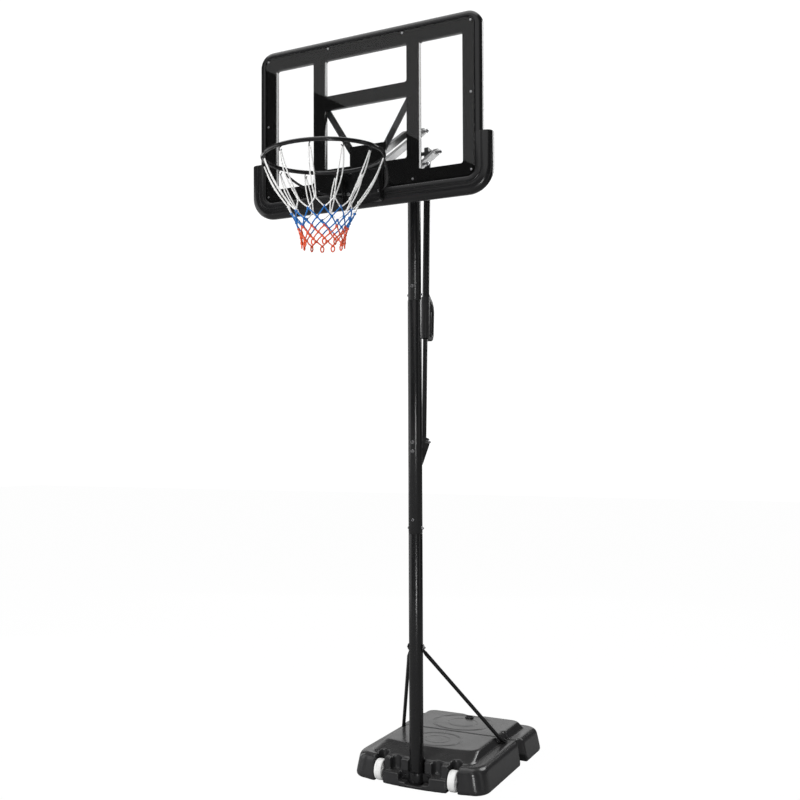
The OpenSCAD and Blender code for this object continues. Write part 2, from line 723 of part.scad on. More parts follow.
// ---------- board carrier ----------
back_w = 164;
back_z = [board_bottom - 2, 2800];
front_low_z = arm_z - front_drop;
front_up_z = upper_z - front_drop;
rim_bolt_x = 70;
rim_bolt_z = [2590, 2661];
module back_plate_bolts() {
  for (s = [-1, 1], z = rim_bolt_z) translate([s * rim_bolt_x, 0, z]) children();
}
module board_back_plate() {
  color(satin) at_post() difference() {
    translate([-back_w / 2, frame_back + 0.2, back_z[0]]) cube([back_w, bracket_t, back_z[1] - back_z[0]]);
    back_plate_bolts() y_rod(plate_hole_r, board_y - 40, frame_back + 40);
  }
}
module board_brackets() {
  color(satin) at_post() both_sides() translate([bracket_x, 0, 0]) difference() {
    rotate([90, 0, 90]) linear_extrude(bracket_t) difference() {
      union() {
        polygon([[frame_back + 4.2, board_bottom + 2], [frame_back + 9, front_low_z - 20],
          [front_y + 4, front_low_z - 20], [front_y + 4, front_up_z + 14],
          [frame_back + 4.2, front_up_z + 14]]);
        for (z = [front_low_z, front_up_z]) translate([front_y + 4, z]) circle(20);
      }
      for (z = [front_low_z, front_up_z]) translate([front_y, z]) circle(pin_hole_r);
    }
  }
}
module front_pivot_bolts() {
  color(zinc) at_post() for (z = [front_low_z, front_up_z]) translate([0, front_y, z])
    bolt_x(pivot_r - (z == front_up_z ? 0.2 : 0), -bracket_x - bracket_t, bracket_x + bracket_t, 16);
}
module front_pivot_spacers() {
  color(black) at_post() for (z = [front_low_z, front_up_z]) translate([0, front_y, z]) {
    difference() {
      x_rod(9, -arm_x + arm_t / 2 + 0.3, arm_x - arm_t / 2 - 0.3);
      x_rod(pin_hole_r, -60, 60);
    }
    both_sides() difference() {
      x_rod(9, arm_x + arm_t / 2 + 0.3, bracket_x - 0.05);
      x_rod(pin_hole_r, 0, 60);
    }
  }
}
// Flat bars from the back plate to the upper corners of the target window
support_low = [58, 2752];
support_up = [205, 2996];
module support_bolt_places() { for (s = [-1, 1]) translate([s * support_up.x, 0, support_up.y]) children(); }
module support(s) {
  v = support_up - support_low;
  color("#4a4a4a") at_post() scale([s, 1, 1]) difference() {
    translate([support_low.x, frame_back + 4.5, support_low.y]) rotate([0, atan2(v.x, v.y), 0])
      translate([-13, 0, -12]) cube([26, 8, norm(v) + 24]);
    translate([support_up.x, 0, support_up.y]) y_rod(3.1, frame_back - 1, frame_back + 60);
  }
}
module support_left() { support(-1); }
module support_right() { support(1); }
module support_bolts() {
  color(zinc) at_post() support_bolt_places() {
    y_rod(3, frame_back - 14, frame_back + 13);
    y_rod(6, frame_back + 12.5, frame_back + 16);
  }
}

// ---------- rim ----------
plate_w = 172;
plate_z = [2544, 2684];
plate_front = board_y - 0.3;
module rim_plate() {
  tongue_y = rim_centre_y + rim_path_r - 14;
  z0 = plate_z[0];
  h = plate_z[1] - z0;
  color(black) at_post() difference() {
    union() {
      translate([-plate_w / 2, plate_front - 4, z0]) cube([plate_w, 4, h]);
      both_sides() translate([plate_w / 2 - 4, 0, 0]) rotate([90, 0, 90]) linear_extrude(4)
        polygon([[plate_front - 1, z0], [plate_front - 34, z0], [plate_front - 44, rim_z - 12],
          [plate_front - 44, rim_z + 12], [plate_front - 1, plate_z[1]]]);
      // Tongue from the bracket to the ring
      translate([0, 0, rim_z - 2]) linear_extrude(4) polygon([[-plate_w / 2, plate_front - 1],
        [plate_w / 2, plate_front - 1], [plate_w / 2, plate_front - 44], [70, tongue_y], [-70, tongue_y],
        [-plate_w / 2, plate_front - 44]]);
    }
    back_plate_bolts() y_rod(plate_hole_r, board_y - 100, frame_back + 40);
    translate([0, rim_centre_y, rim_z]) rotate_extrude($fn = 96)
      translate([rim_path_r, 0]) circle(rim_rod_r + 0.02);
    translate([0, rim_centre_y, rim_z - 30]) cylinder(r = rim_path_r - 1, h = 60, $fn = 96);
  }
}
module rim_ring() {
  color(black) at_post() translate([0, rim_centre_y, rim_z])
    rotate_extrude($fn = 96) translate([rim_path_r, 0]) circle(rim_rod_r);
}
// Bent brace rod under the ring, a smooth curve through four control points
brace_r = 5;
brace_ctrl = [[217, -832, 2635], [196, -690, 2566], [plate_w / 2 + 18, -600, 2582],
  [plate_w / 2 + 5.1, -556, 2578]];
function bezier(p, t) = pow(1 - t, 3) * p[0] + 3 * t * pow(1 - t, 2) * p[1]
  + 3 * t * t * (1 - t) * p[2] + pow(t, 3) * p[3];
module rim_brace(s) {
  color(black) at_post() swept_tube([for (k = [0 : 18]) let (q = bezier(brace_ctrl, k / 18))
    [s * q.x, q.y, q.z]], brace_r, 12);
}
module rim_brace_left() { rim_brace(-1); }
module rim_brace_right() { rim_brace(1); }
module rim_bolts() {
  color(zinc) at_post() back_plate_bolts() bolt_y(bolt_r, plate_front - 4, frame_back + 4.4, 13);
}
hook_n = 12;
hook_r = 2;
module hook_places() {
  for (k = [0 : hook_n - 1]) rotate([0, 0, 15 + k * 30]) translate([rim_path_r, 0, -rim_rod_r]) children();
}
// Open wire hooks, three quarters of a loop under the rod
module net_hooks() {
  color(black) at_post() translate([0, rim_centre_y, rim_z]) hook_places()
    translate([-3, 0, -8.2]) rotate([90, 0, 0])
      rotate_extrude(angle = 300) translate([7, 0]) circle(hook_r, $fn = 24);
}
net_top_r = rim_path_r - 14;
net_mid_r = 128;
net_low_r = 84;
module net() {
  z1 = -rim_rod_r - 12;
  color("white") at_post() translate([0, rim_centre_y, rim_z]) rotate_extrude($fn = 72) polygon([
    [net_top_r, z1], [net_mid_r, z1 - 215], [net_low_r + 12, z1 - 265], [net_low_r, -net_len],
    [net_low_r - 4, -net_len], [net_low_r + 8, z1 - 265], [net_mid_r - 4, z1 - 215], [net_top_r - 4, z1]]);
}

base_front_tank();
base_rear_tank();
water_front();
water_rear();
fill_cap_front();
fill_cap_rear();
wheel_left();
wheel_right();
wheel_axles();
axle_caps();
pole_lower();
pole_middle();
pole_upper();
pole_top_cap();
pole_joint_bolts();
pole_foot_bracket();
foot_bracket_bolts();
strut_left();
strut_right();
strut_pole_bolt();
strut_base_bolts();
adjuster_bracket();
adjuster_bracket_bolts();
adjuster_foot_bolt();
adjuster_inner_tube();
adjuster_outer_tube();
adjuster_guide_bush();
adjuster_yoke();
handle_grip();
handle_screws();
lock_plate();
lock_spring();
trigger_lever();
trigger_pin();
lower_arm_left();
lower_arm_right();
upper_arm_left();
upper_arm_right();
arm_rear_bolt();
arm_rear_spacers();
arm_pivot_bolts();
arm_pivot_washers();
board_back_plate();
board_brackets();
front_pivot_bolts();
front_pivot_spacers();
support_left();
support_right();
support_bolts();
backboard_frame();
backboard_sheet();
sheet_screws();
bottom_guard();
rim_plate();
rim_ring();
rim_brace_left();
rim_brace_right();
rim_bolts();
net_hooks();
net();
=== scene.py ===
from math import atan2, cos, pi, radians, sin

import bmesh
import bpy
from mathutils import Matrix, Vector


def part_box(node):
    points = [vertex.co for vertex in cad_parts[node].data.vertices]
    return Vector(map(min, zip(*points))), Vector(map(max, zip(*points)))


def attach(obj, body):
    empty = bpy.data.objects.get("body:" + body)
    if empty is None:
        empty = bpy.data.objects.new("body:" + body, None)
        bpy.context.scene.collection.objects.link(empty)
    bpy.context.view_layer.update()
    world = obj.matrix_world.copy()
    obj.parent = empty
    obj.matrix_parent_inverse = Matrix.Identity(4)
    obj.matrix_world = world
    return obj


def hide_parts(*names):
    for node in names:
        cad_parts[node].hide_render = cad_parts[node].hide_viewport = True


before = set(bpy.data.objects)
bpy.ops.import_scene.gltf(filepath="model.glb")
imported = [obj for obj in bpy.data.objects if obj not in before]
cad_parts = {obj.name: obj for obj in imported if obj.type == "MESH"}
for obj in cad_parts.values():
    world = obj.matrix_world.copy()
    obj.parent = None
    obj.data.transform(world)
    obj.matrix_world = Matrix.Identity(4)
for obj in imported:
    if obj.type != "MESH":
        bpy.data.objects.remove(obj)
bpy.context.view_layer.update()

# ---------- camera ----------
# A viewer in front of the board's right side, a little above the middle of the post.
# The lens is shifted sideways, so that the tall post stays upright in the picture.
bpy.ops.object.select_all(action="DESELECT")
bpy.ops.object.camera_add(location=(1.8143, -4.2843, 1.5226), rotation=(pi / 2 + 0.0304, 0, 0.5204))
camera = bpy.context.object
camera.data.sensor_width = 36
camera.data.lens = 46.65
camera.data.shift_x = 0.1522
camera.data.shift_y = 0.0230
bpy.context.scene.camera = camera

# ---------- studio ----------
# A plain pale floor under a white room, with soft boxes above, at both sides and behind.
# The camera sees the room as white, and the hoop is lit by a dimmer grey one and the boxes.
bpy.context.scene.view_settings.view_transform = "Standard"
bpy.ops.mesh.primitive_plane_add(size=60, location=(0, 0, -0.0005))
floor = bpy.context.object
floor.name = "floor"
pale = bpy.data.materials.new("pale floor")
pale.use_nodes = True
pale_nodes, pale_links = pale.node_tree.nodes, pale.node_tree.links
pale_shader = pale_nodes["Principled BSDF"]
pale_shader.inputs["Base Color"].default_value = (0.32, 0.32, 0.32, 1)
pale_shader.inputs["Roughness"].default_value = 0.9
pale_shader.inputs["Specular IOR Level"].default_value = 0
bright = pale_nodes.new("ShaderNodeEmission")
bright.inputs["Color"].default_value = (1, 1, 1, 1)
bright.inputs["Strength"].default_value = 1.06
pale_ray = pale_nodes.new("ShaderNodeLightPath")
pale_part = pale_nodes.new("ShaderNodeMath")
pale_part.operation = "MULTIPLY"
pale_part.inputs[1].default_value = 0.93
pale_mix = pale_nodes.new("ShaderNodeMixShader")
pale_links.new(pale_ray.outputs["Is Camera Ray"], pale_part.inputs[0])
pale_links.new(pale_part.outputs[0], pale_mix.inputs[0])
pale_links.new(pale_shader.outputs[0], pale_mix.inputs[1])
pale_links.new(bright.outputs[0], pale_mix.inputs[2])
pale_links.new(pale_mix.outputs[0], pale_nodes["Material Output"].inputs["Surface"])
floor.data.materials.append(pale)

room = bpy.data.worlds.new("white room")
bpy.context.scene.world = room
room.use_nodes = True
room_nodes = room.node_tree.nodes
room_links = room.node_tree.links
room_nodes.clear()
seen = room_nodes.new("ShaderNodeBackground")
seen.inputs["Strength"].default_value = 1.1
seen.inputs["Color"].default_value = (1, 1, 1, 1)
ambient = room_nodes.new("ShaderNodeBackground")
ambient.inputs["Color"].default_value = (1, 1, 1, 1)
ambient.inputs["Strength"].default_value = 0.05
ray = room_nodes.new("ShaderNodeLightPath")
either = room_nodes.new("ShaderNodeMixShader")
sky = room_nodes.new("ShaderNodeOutputWorld")
unlit = room_nodes.new("ShaderNodeMath")
unlit.operation = "LESS_THAN"
unlit.inputs[1].default_value = 0.5
clear_view = room_nodes.new("ShaderNodeMath")
clear_view.operation = "MULTIPLY"
through = room_nodes.new("ShaderNodeMath")
through.operation = "MAXIMUM"
bounces = room_nodes.new("ShaderNodeMath")
room_links.new(ray.outputs["Diffuse Depth"], bounces.inputs[0])
room_links.new(ray.outputs["Glossy Depth"], bounces.inputs[1])
room_links.new(bounces.outputs[0], unlit.inputs[0])
room_links.new(unlit.outputs[0], clear_view.inputs[0])
room_links.new(ray.outputs["Is Transmission Ray"], clear_view.inputs[1])
room_links.new(ray.outputs["Is Camera Ray"], through.inputs[0])
room_links.new(clear_view.outputs[0], through.inputs[1])
room_links.new(through.outputs[0], either.inputs[0])
room_links.new(ambient.outputs[0], either.inputs[1])
room_links.new(seen.outputs[0], either.inputs[2])
room_links.new(either.outputs[0], sky.inputs[0])


def soft_box(name, place, target, width, height, radiance):
    """A rectangular studio light of a given brightness, turned to its target."""
    bpy.ops.object.light_add(type="AREA", location=place)
    lamp = bpy.context.object
    lamp.name = name
    lamp.rotation_euler = (Vector(target) - Vector(place)).to_track_quat("-Z", "Y").to_euler()
    lamp.data.shape = "RECTANGLE"
    lamp.data.size = width
    lamp.data.size_y = height
    lamp.data.energy = radiance * pi * width * height
    lamp.visible_camera = False
    lamp.visible_transmission = False
    return lamp


soft_box("top_box", (-0.6, 0.2, 6.2), (0, 0.2, 0), 5.0, 5.0, 1.9)
soft_box("right_box", (5.0, 0.3, 2.0), (0, 0.1, 1.6), 1.2, 4.4, 0.7)
soft_box("left_card", (-4.6, -1.4, 1.7), (0, 0, 1.6), 3.6, 4.0, 1.1)
soft_box("left_strip", (-4.2, 1.6, 1.8), (0, 0.2, 1.4), 0.8, 4.0, 2.4)
soft_box("rear_right_box", (2.9, 4.8, 4.6), (0, -0.3, 2.9), 3.2, 3.0, 5.0)
soft_box("rear_card", (-2.4, 5.6, 1.5), (0, 0.5, 0.2), 5.0, 2.4, 0.75)
# The front box may not show in the clear sheet
front_box = soft_box("front_box", (-2.2, -5.6, 2.6), (0, 0, 1.6), 2.6, 3.6, 8.0)
front_box.visible_glossy = False
base_strip = soft_box("base_strip", (2.2, -3.4, 0.55), (0, 0.2, 0.1), 0.16, 1.1, 60.0)

# A card high at the front left lies in the clear sheet's reflection, and its lower edge
# runs across the board as a slanted line, with the lighter part above it
sheet_low, sheet_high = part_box("backboard_sheet")
mirror_y = sheet_low.y
mirrored_eye = camera.location.copy()
mirrored_eye.y = 2 * mirror_y - mirrored_eye.y
sheet_span = sheet_high - sheet_low
edge_start = Vector((sheet_low.x + 0.25 * sheet_span.x, mirror_y, sheet_low.z + 0.713 * sheet_span.z))
edge_end = Vector((sheet_low.x + 1.01 * sheet_span.x, mirror_y, sheet_low.z + 0.052 * sheet_span.z))
card_y = -4.2


def seen_on_card(point):
    reach = (card_y - mirrored_eye.y) / (point.y - mirrored_eye.y)
    return mirrored_eye + (point - mirrored_eye) * reach


card_edge = (seen_on_card(edge_start), seen_on_card(edge_end))
edge_way = (card_edge[1] - card_edge[0]).normalized()
card_up = Vector((-edge_way.z, 0, edge_way.x))
card_size = (9.0, 5.0)
card_middle = (card_edge[0] + card_edge[1]) / 2 + card_up * card_size[1] / 2
card = soft_box("reflected_card", card_middle, card_middle + Vector((0, 1, 0)), *card_size, 0.72)
card.rotation_euler = (pi / 2, -atan2(edge_way.z, edge_way.x), 0)

# ---------- front tank ----------
# The front water tank, blow moulded in thick black polyethylene with rounded edges, wells for the
# wheels, niches beside the post and a stepped shoulder. The post stands in its front notch.
post_low, post_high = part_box("pole_lower")
post_y = (post_low.y + post_high.y) / 2


def deselect():
    if bpy.context.object and bpy.context.object.mode != "OBJECT":
        bpy.ops.object.mode_set(mode="OBJECT")
    bpy.ops.object.select_all(action="DESELECT")


def take(piece, *others):
    deselect()
    for one in (piece, *others):
        one.select_set(True)
    bpy.context.view_layer.objects.active = piece


def modify(piece, kind, **settings):
    """Adds one modifier to the piece and applies it."""
    take(piece)
    change = piece.modifiers.new(kind.lower(), kind)
    for setting, value in settings.items():
        setattr(change, setting, value)
    bpy.ops.object.modifier_apply(modifier=change.name)


def tidy_mesh(piece, merge=0.00001):
    """Merges doubles and turns all faces outwards."""
    take(piece)
    bpy.ops.object.mode_set(mode="EDIT")
    bpy.ops.mesh.select_all(action="SELECT")
    bpy.ops.mesh.remove_doubles(threshold=merge)
    bpy.ops.mesh.normals_make_consistent(inside=False)
    bpy.ops.object.mode_set(mode="OBJECT")


def settle(piece):
    """Puts the piece's place into its mesh, with its object at the origin."""
    take(piece)
    bpy.ops.object.transform_apply(location=True, rotation=True, scale=True)


def smooth(piece, angle=35):
    take(piece)
    bpy.ops.object.shade_smooth_by_angle(angle=radians(angle), keep_sharp_edges=False)


def join(first, *others):
    take(first, *others)
    bpy.ops.object.join()
    return first


def combine(piece, tool, operation="DIFFERENCE"):
    """Cuts the tool out of the piece, or adds it, and removes the tool."""
    modify(piece, "BOOLEAN", object=tool, operation=operation, solver="EXACT")
    bpy.data.objects.remove(tool)


def skinned(name, rings, capped=True):
    """Extrudes a first ring of points through the others; open sections close on the first."""
    count = len(rings[0])
    deselect()
    bpy.ops.mesh.primitive_circle_add(vertices=count, fill_type="NGON" if capped else "NOTHING")
    piece = bpy.context.object
    piece.name = name
    bpy.ops.object.mode_set(mode="EDIT")
    mesh = bmesh.from_edit_mesh(piece.data)
    order = mesh.verts.layers.int.new("order")
    for place, vertex in enumerate(mesh.verts):
        vertex[order] = place
        vertex.co = rings[0][place]
    bmesh.update_edit_mesh(piece.data)
    for ring in rings[1:] if capped else [*rings[1:], rings[0]]:
        bpy.ops.mesh.extrude_region_move()
        mesh = bmesh.from_edit_mesh(piece.data)
        order = mesh.verts.layers.int["order"]
        for vertex in mesh.verts:
            if vertex.select:
                vertex.co = ring[vertex[order]]
        bmesh.update_edit_mesh(piece.data)
    bpy.ops.object.mode_set(mode="OBJECT")
    tidy_mesh(piece)
    return piece


def block(low, high, corner=0.0, steps=6):
    """A box between two corners, with its upright edges rounded."""
    low, high = Vector(low), Vector(high)
    deselect()
    bpy.ops.mesh.primitive_cube_add(size=1, location=(low + high) / 2, scale=high - low)
    piece = bpy.context.object
    settle(piece)
    if corner:
        bpy.ops.object.mode_set(mode="EDIT")
        bpy.ops.mesh.select_mode(type="EDGE")
        bpy.ops.mesh.select_all(action="DESELECT")
        bpy.ops.object.mode_set(mode="OBJECT")
        for edge in piece.data.edges:
            ends = [piece.data.vertices[i].co for i in edge.vertices]
            edge.select = abs(ends[0].z - ends[1].z) > 0.5 * (high.z - low.z)
        bpy.ops.object.mode_set(mode="EDIT")
        bpy.ops.mesh.bevel(offset=corner, offset_type="OFFSET", segments=steps)
        bpy.ops.object.mode_set(mode="OBJECT")
    return piece


def rod(start, end, radius, vertices=48):
    """A round bar between two points, used as a cutter or as a start."""
    start, end = Vector(start), Vector(end)
    deselect()
    bpy.ops.mesh.primitive_cylinder_add(
        vertices=vertices, radius=radius, depth=(end - start).length, location=(start + end) / 2,
        rotation=(end - start).to_track_quat("Z", "Y").to_euler())
    piece = bpy.context.object
    settle(piece)
    return piece


def ball(place, radius):
    deselect()
    bpy.ops.mesh.primitive_uv_sphere_add(segments=40, ring_count=20, radius=radius, location=place)
    piece = bpy.context.object
    settle(piece)
    return piece


def rounded_outline(half, front, back, front_corner, back_corner, bow=0.0, steps=8):
    """Plan of a tank: a bowed front edge, straight sides and four rounded corners."""
    points = []
    for step in range(25):
        x = (half - front_corner) * (1 - step / 12)
        points.append((-x, front + bow * (x / half) ** 2))
    side_y = front + bow + front_corner
    for step in range(1, steps + 1):
        turn = pi / 2 * step / steps
        start_y = points[24][1]
        points.append((half - front_corner + front_corner * sin(turn),
                       start_y + (side_y - start_y) * (1 - cos(turn))))
    for step in range(steps + 1):
        turn = pi / 2 * step / steps
        points.append((half - back_corner * (1 - cos(turn)), back - back_corner * (1 - sin(turn))))
    right = points[25:]
    return points + [(-x, y) for x, y in reversed(right)]


def level(plan, height):
    return [Vector((x, post_y + y, height)) for x, y in plan]


def moulded(piece, voxel=0.0042, rounds=7):
    """Softens all edges as blow moulding does, by remeshing and smoothing."""
    modify(piece, "REMESH", mode="VOXEL", voxel_size=voxel, adaptivity=0)
    modify(piece, "SMOOTH", factor=0.5, iterations=rounds)
    smooth(piece, 60)


tank_low, tank_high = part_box("base_front_tank")
front_half = tank_high.x
tank_top = tank_high.z
tank_front = tank_low.y - post_y
tank_back = tank_high.y - post_y
lap_line = 0.434
# Height, inset of the sides, inset of the front and inset of the back, from the floor upwards
skirt = [(0.000, 0.008, 0.007, 0.007), (0.004, 0.003, 0.003, 0.003), (0.014, 0.000, 0.000, 0.000),
         (0.045, 0.005, 0.003, 0.003), (0.092, 0.014, 0.008, 0.008), (0.104, 0.019, 0.013, 0.012),
         (0.112, 0.027, 0.021, 0.019), (0.1165, 0.038, 0.031, 0.028), (0.1150, 0.050, 0.042, 0.036)]
upper = [(0.090, 0.070, 0.052, 0.040), (0.113, 0.074, 0.058, 0.054), (0.122, 0.079, 0.068, 0.060),
         (0.1440, 0.090, 0.160, 0.080), (0.1490, 0.095, 0.174, 0.087), (tank_top, 0.101, 0.184, 0.094)]
front_rings = [level(rounded_outline(front_half - side, tank_front + ahead, tank_back - 0.001,
                                     0.064, 0.006, 0.058), height)
               for height, side, ahead, behind in skirt]
front_tank = skinned("front_tank", front_rings)
plateau_rings = [level(rounded_outline(front_half - side, tank_front + ahead, lap_line - 0.002,
                                       0.050, 0.004, 0.034), height)
                 for height, side, ahead, behind in upper]
combine(front_tank, skinned("plateau", plateau_rings), "UNION")

wheel_low, wheel_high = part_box("wheel_right")
wheel_middle = (wheel_low + wheel_high) / 2
wheel_radius = (wheel_high.z - wheel_low.z) / 2
well_half = 0.0245
well_inner = wheel_middle.x - well_half
band_top = 0.058
for side in (-1, 1):
    hub = Vector((side * wheel_middle.x, wheel_middle.y, wheel_middle.z))
    across = Vector((well_half, 0, 0))
    combine(front_tank, rod(hub - across, hub + across, wheel_radius + 0.014, 64))
    combine(front_tank, block(hub - across - Vector((0, 0.12, 0.1)),
                              hub + across + Vector((0, wheel_radius + 0.013, 0))))
    # The arch over each wheel opens forwards and runs back into the slope
    crown = Vector((hub.x, hub.y + 0.036, 0.122))
    combine(front_tank, block(hub - across - Vector((0, 0.12, 0.01)), (crown + across)))
    combine(front_tank, rod(crown - Vector((0, 0.2, 0)), crown, well_half - 0.0002))
    combine(front_tank, rod(crown - Vector((0, 0, 0.09)), crown, well_half - 0.0004))
    combine(front_tank, ball(crown, well_half - 0.0003))
    # A niche stands between the wheel and the post
    niche = Vector((side * 0.098, post_y + 0.004, 0.114))
    combine(front_tank, rod(niche - Vector((0, 0, 0.054)), niche, 0.0245))
    combine(front_tank, block(niche - Vector((0.0243, 0.06, 0.0538)), niche + Vector((0.0243, -0.001, 0.001))))
    combine(front_tank, rod(niche - Vector((0, 0.08, 0)), niche + Vector((0, 0.0013, 0)), 0.0246, 44))
    combine(front_tank, ball(niche, 0.0249))
    combine(front_tank, rod((side * (front_half + 0.003), post_y + 0.560, -0.01),
                            (side * (front_half + 0.003), post_y + 0.560, 0.2), 0.036))
# Between the wheels the front steps back above a low band, with a pocket for the post's saddle
combine(front_tank, block((-well_inner - 0.001, post_y - 0.08, band_top),
                          (well_inner + 0.001, post_y - 0.016, 0.170)))
combine(front_tank, block((-0.072, post_y - 0.08, 0.024), (0.072, post_y - 0.006, 0.171)))
combine(front_tank, rod((0, post_y, 0.014), (0, post_y, 0.2), 0.038, 64))
combine(front_tank, block((-0.038, post_y - 0.06, 0.0142), (0.038, post_y, 0.2)))
combine(front_tank, rod((-0.4, post_y + 0.568, 0), (0.4, post_y + 0.568, 0), 0.044, 64))
front_fill = Vector((-0.060, post_y + 0.172, tank_top))
combine(front_tank, rod(front_fill - Vector((0, 0, 0.02)), front_fill + Vector((0, 0, 0.02)), 0.017))
moulded(front_tank)


def emblem(middle, radii):
    """Plain concentric beads moulded into the top of a tank."""
    beads = []
    for radius in radii:
        deselect()
        bpy.ops.mesh.primitive_torus_add(
            location=middle, major_radius=radius, minor_radius=0.0019, major_segments=96, minor_segments=8)
        bead = bpy.context.object
        bead.scale = (1, 1, 0.62)
        settle(bead)
        smooth(bead, 60)
        beads.append(bead)
    return join(*beads)


front_emblem = emblem((0, post_y + 0.262, tank_top - 0.0004), (0.118, 0.108, 0.060))
front_emblem.name = "front_emblem"


def fine_grain():
    """Group: a fine surface height and a slow change of tone over the piece."""
    group = bpy.data.node_groups.new("fine grain", "ShaderNodeTree")
    group.interface.new_socket("Grain Size", in_out="INPUT", socket_type="NodeSocketFloat")
    group.interface.new_socket("Patch Size", in_out="INPUT", socket_type="NodeSocketFloat")
    group.interface.new_socket("Height", in_out="OUTPUT", socket_type="NodeSocketFloat")
    group.interface.new_socket("Tone", in_out="OUTPUT", socket_type="NodeSocketFloat")
    nodes, links = group.nodes, group.links
    given = nodes.new("NodeGroupInput")
    out = nodes.new("NodeGroupOutput")
    where = nodes.new("ShaderNodeTexCoord")
    grain = nodes.new("ShaderNodeTexNoise")
    grain.inputs["Detail"].default_value = 3
    grain.inputs["Roughness"].default_value = 0.6
    patch = nodes.new("ShaderNodeTexNoise")
    patch.inputs["Detail"].default_value = 4
    patch.inputs["Roughness"].default_value = 0.55
    links.new(where.outputs["Object"], grain.inputs["Vector"])
    links.new(where.outputs["Object"], patch.inputs["Vector"])
    links.new(given.outputs["Grain Size"], grain.inputs["Scale"])
    links.new(given.outputs["Patch Size"], patch.inputs["Scale"])
    links.new(grain.outputs["Fac"], out.inputs["Height"])
    links.new(patch.outputs["Fac"], out.inputs["Tone"])
    return group


def scuffed_and_highlit_edges():
    """Group: a mask of the raised edges, used for scuffing and for a painted highlight along them."""
    group = bpy.data.node_groups.new("scuffed and highlit edges", "ShaderNodeTree")
    group.interface.new_socket("Start", in_out="INPUT", socket_type="NodeSocketFloat")
    group.interface.new_socket("Amount", in_out="INPUT", socket_type="NodeSocketFloat")
    group.interface.new_socket("Mask", in_out="OUTPUT", socket_type="NodeSocketFloat")
    nodes, links = group.nodes, group.links
    given = nodes.new("NodeGroupInput")
    out = nodes.new("NodeGroupOutput")
    shape = nodes.new("ShaderNodeNewGeometry")
    raised = nodes.new("ShaderNodeMapRange")
    raised.inputs["From Max"].default_value = 0.62
    where = nodes.new("ShaderNodeTexCoord")
    patchy = nodes.new("ShaderNodeTexNoise")
    patchy.inputs["Scale"].default_value = 34
    patchy.inputs["Detail"].default_value = 4
    both = nodes.new("ShaderNodeMath")
    both.operation = "MULTIPLY"
    scaled = nodes.new("ShaderNodeMath")
    scaled.operation = "MULTIPLY"
    links.new(shape.outputs["Pointiness"], raised.inputs["Value"])
    links.new(given.outputs["Start"], raised.inputs["From Min"])
    links.new(where.outputs["Object"], patchy.inputs["Vector"])
    links.new(raised.outputs["Result"], both.inputs[0])
    links.new(patchy.outputs["Fac"], both.inputs[1])
    links.new(both.outputs[0], scaled.inputs[0])
    links.new(given.outputs["Amount"], scaled.inputs[1])
    links.new(scaled.outputs[0], out.inputs["Mask"])
    return group


def settled_dust():
    """Group: a thin patchy film on faces that look up."""
    group = bpy.data.node_groups.new("settled dust", "ShaderNodeTree")
    group.interface.new_socket("Amount", in_out="INPUT", socket_type="NodeSocketFloat")
    group.interface.new_socket("Mask", in_out="OUTPUT", socket_type="NodeSocketFloat")
    nodes, links = group.nodes, group.links
    given = nodes.new("NodeGroupInput")
    out = nodes.new("NodeGroupOutput")
    shape = nodes.new("ShaderNodeNewGeometry")
    parts = nodes.new("ShaderNodeSeparateXYZ")
    upward = nodes.new("ShaderNodeMapRange")
    upward.inputs["From Min"].default_value = 0.55
    where = nodes.new("ShaderNodeTexCoord")
    patchy = nodes.new("ShaderNodeTexNoise")
    patchy.inputs["Scale"].default_value = 11
    patchy.inputs["Detail"].default_value = 5
    both = nodes.new("ShaderNodeMath")
    both.operation = "MULTIPLY"
    scaled = nodes.new("ShaderNodeMath")
    scaled.operation = "MULTIPLY"
    links.new(shape.outputs["Normal"], parts.inputs[0])
    links.new(parts.outputs["Z"], upward.inputs["Value"])
    links.new(where.outputs["Object"], patchy.inputs["Vector"])
    links.new(upward.outputs["Result"], both.inputs[0])
    links.new(patchy.outputs["Fac"], both.inputs[1])
    links.new(both.outputs[0], scaled.inputs[0])
    links.new(given.outputs["Amount"], scaled.inputs[1])
    links.new(scaled.outputs[0], out.inputs["Mask"])
    return group


grain_group = fine_grain()
edge_group = scuffed_and_highlit_edges()
dust_group = settled_dust()


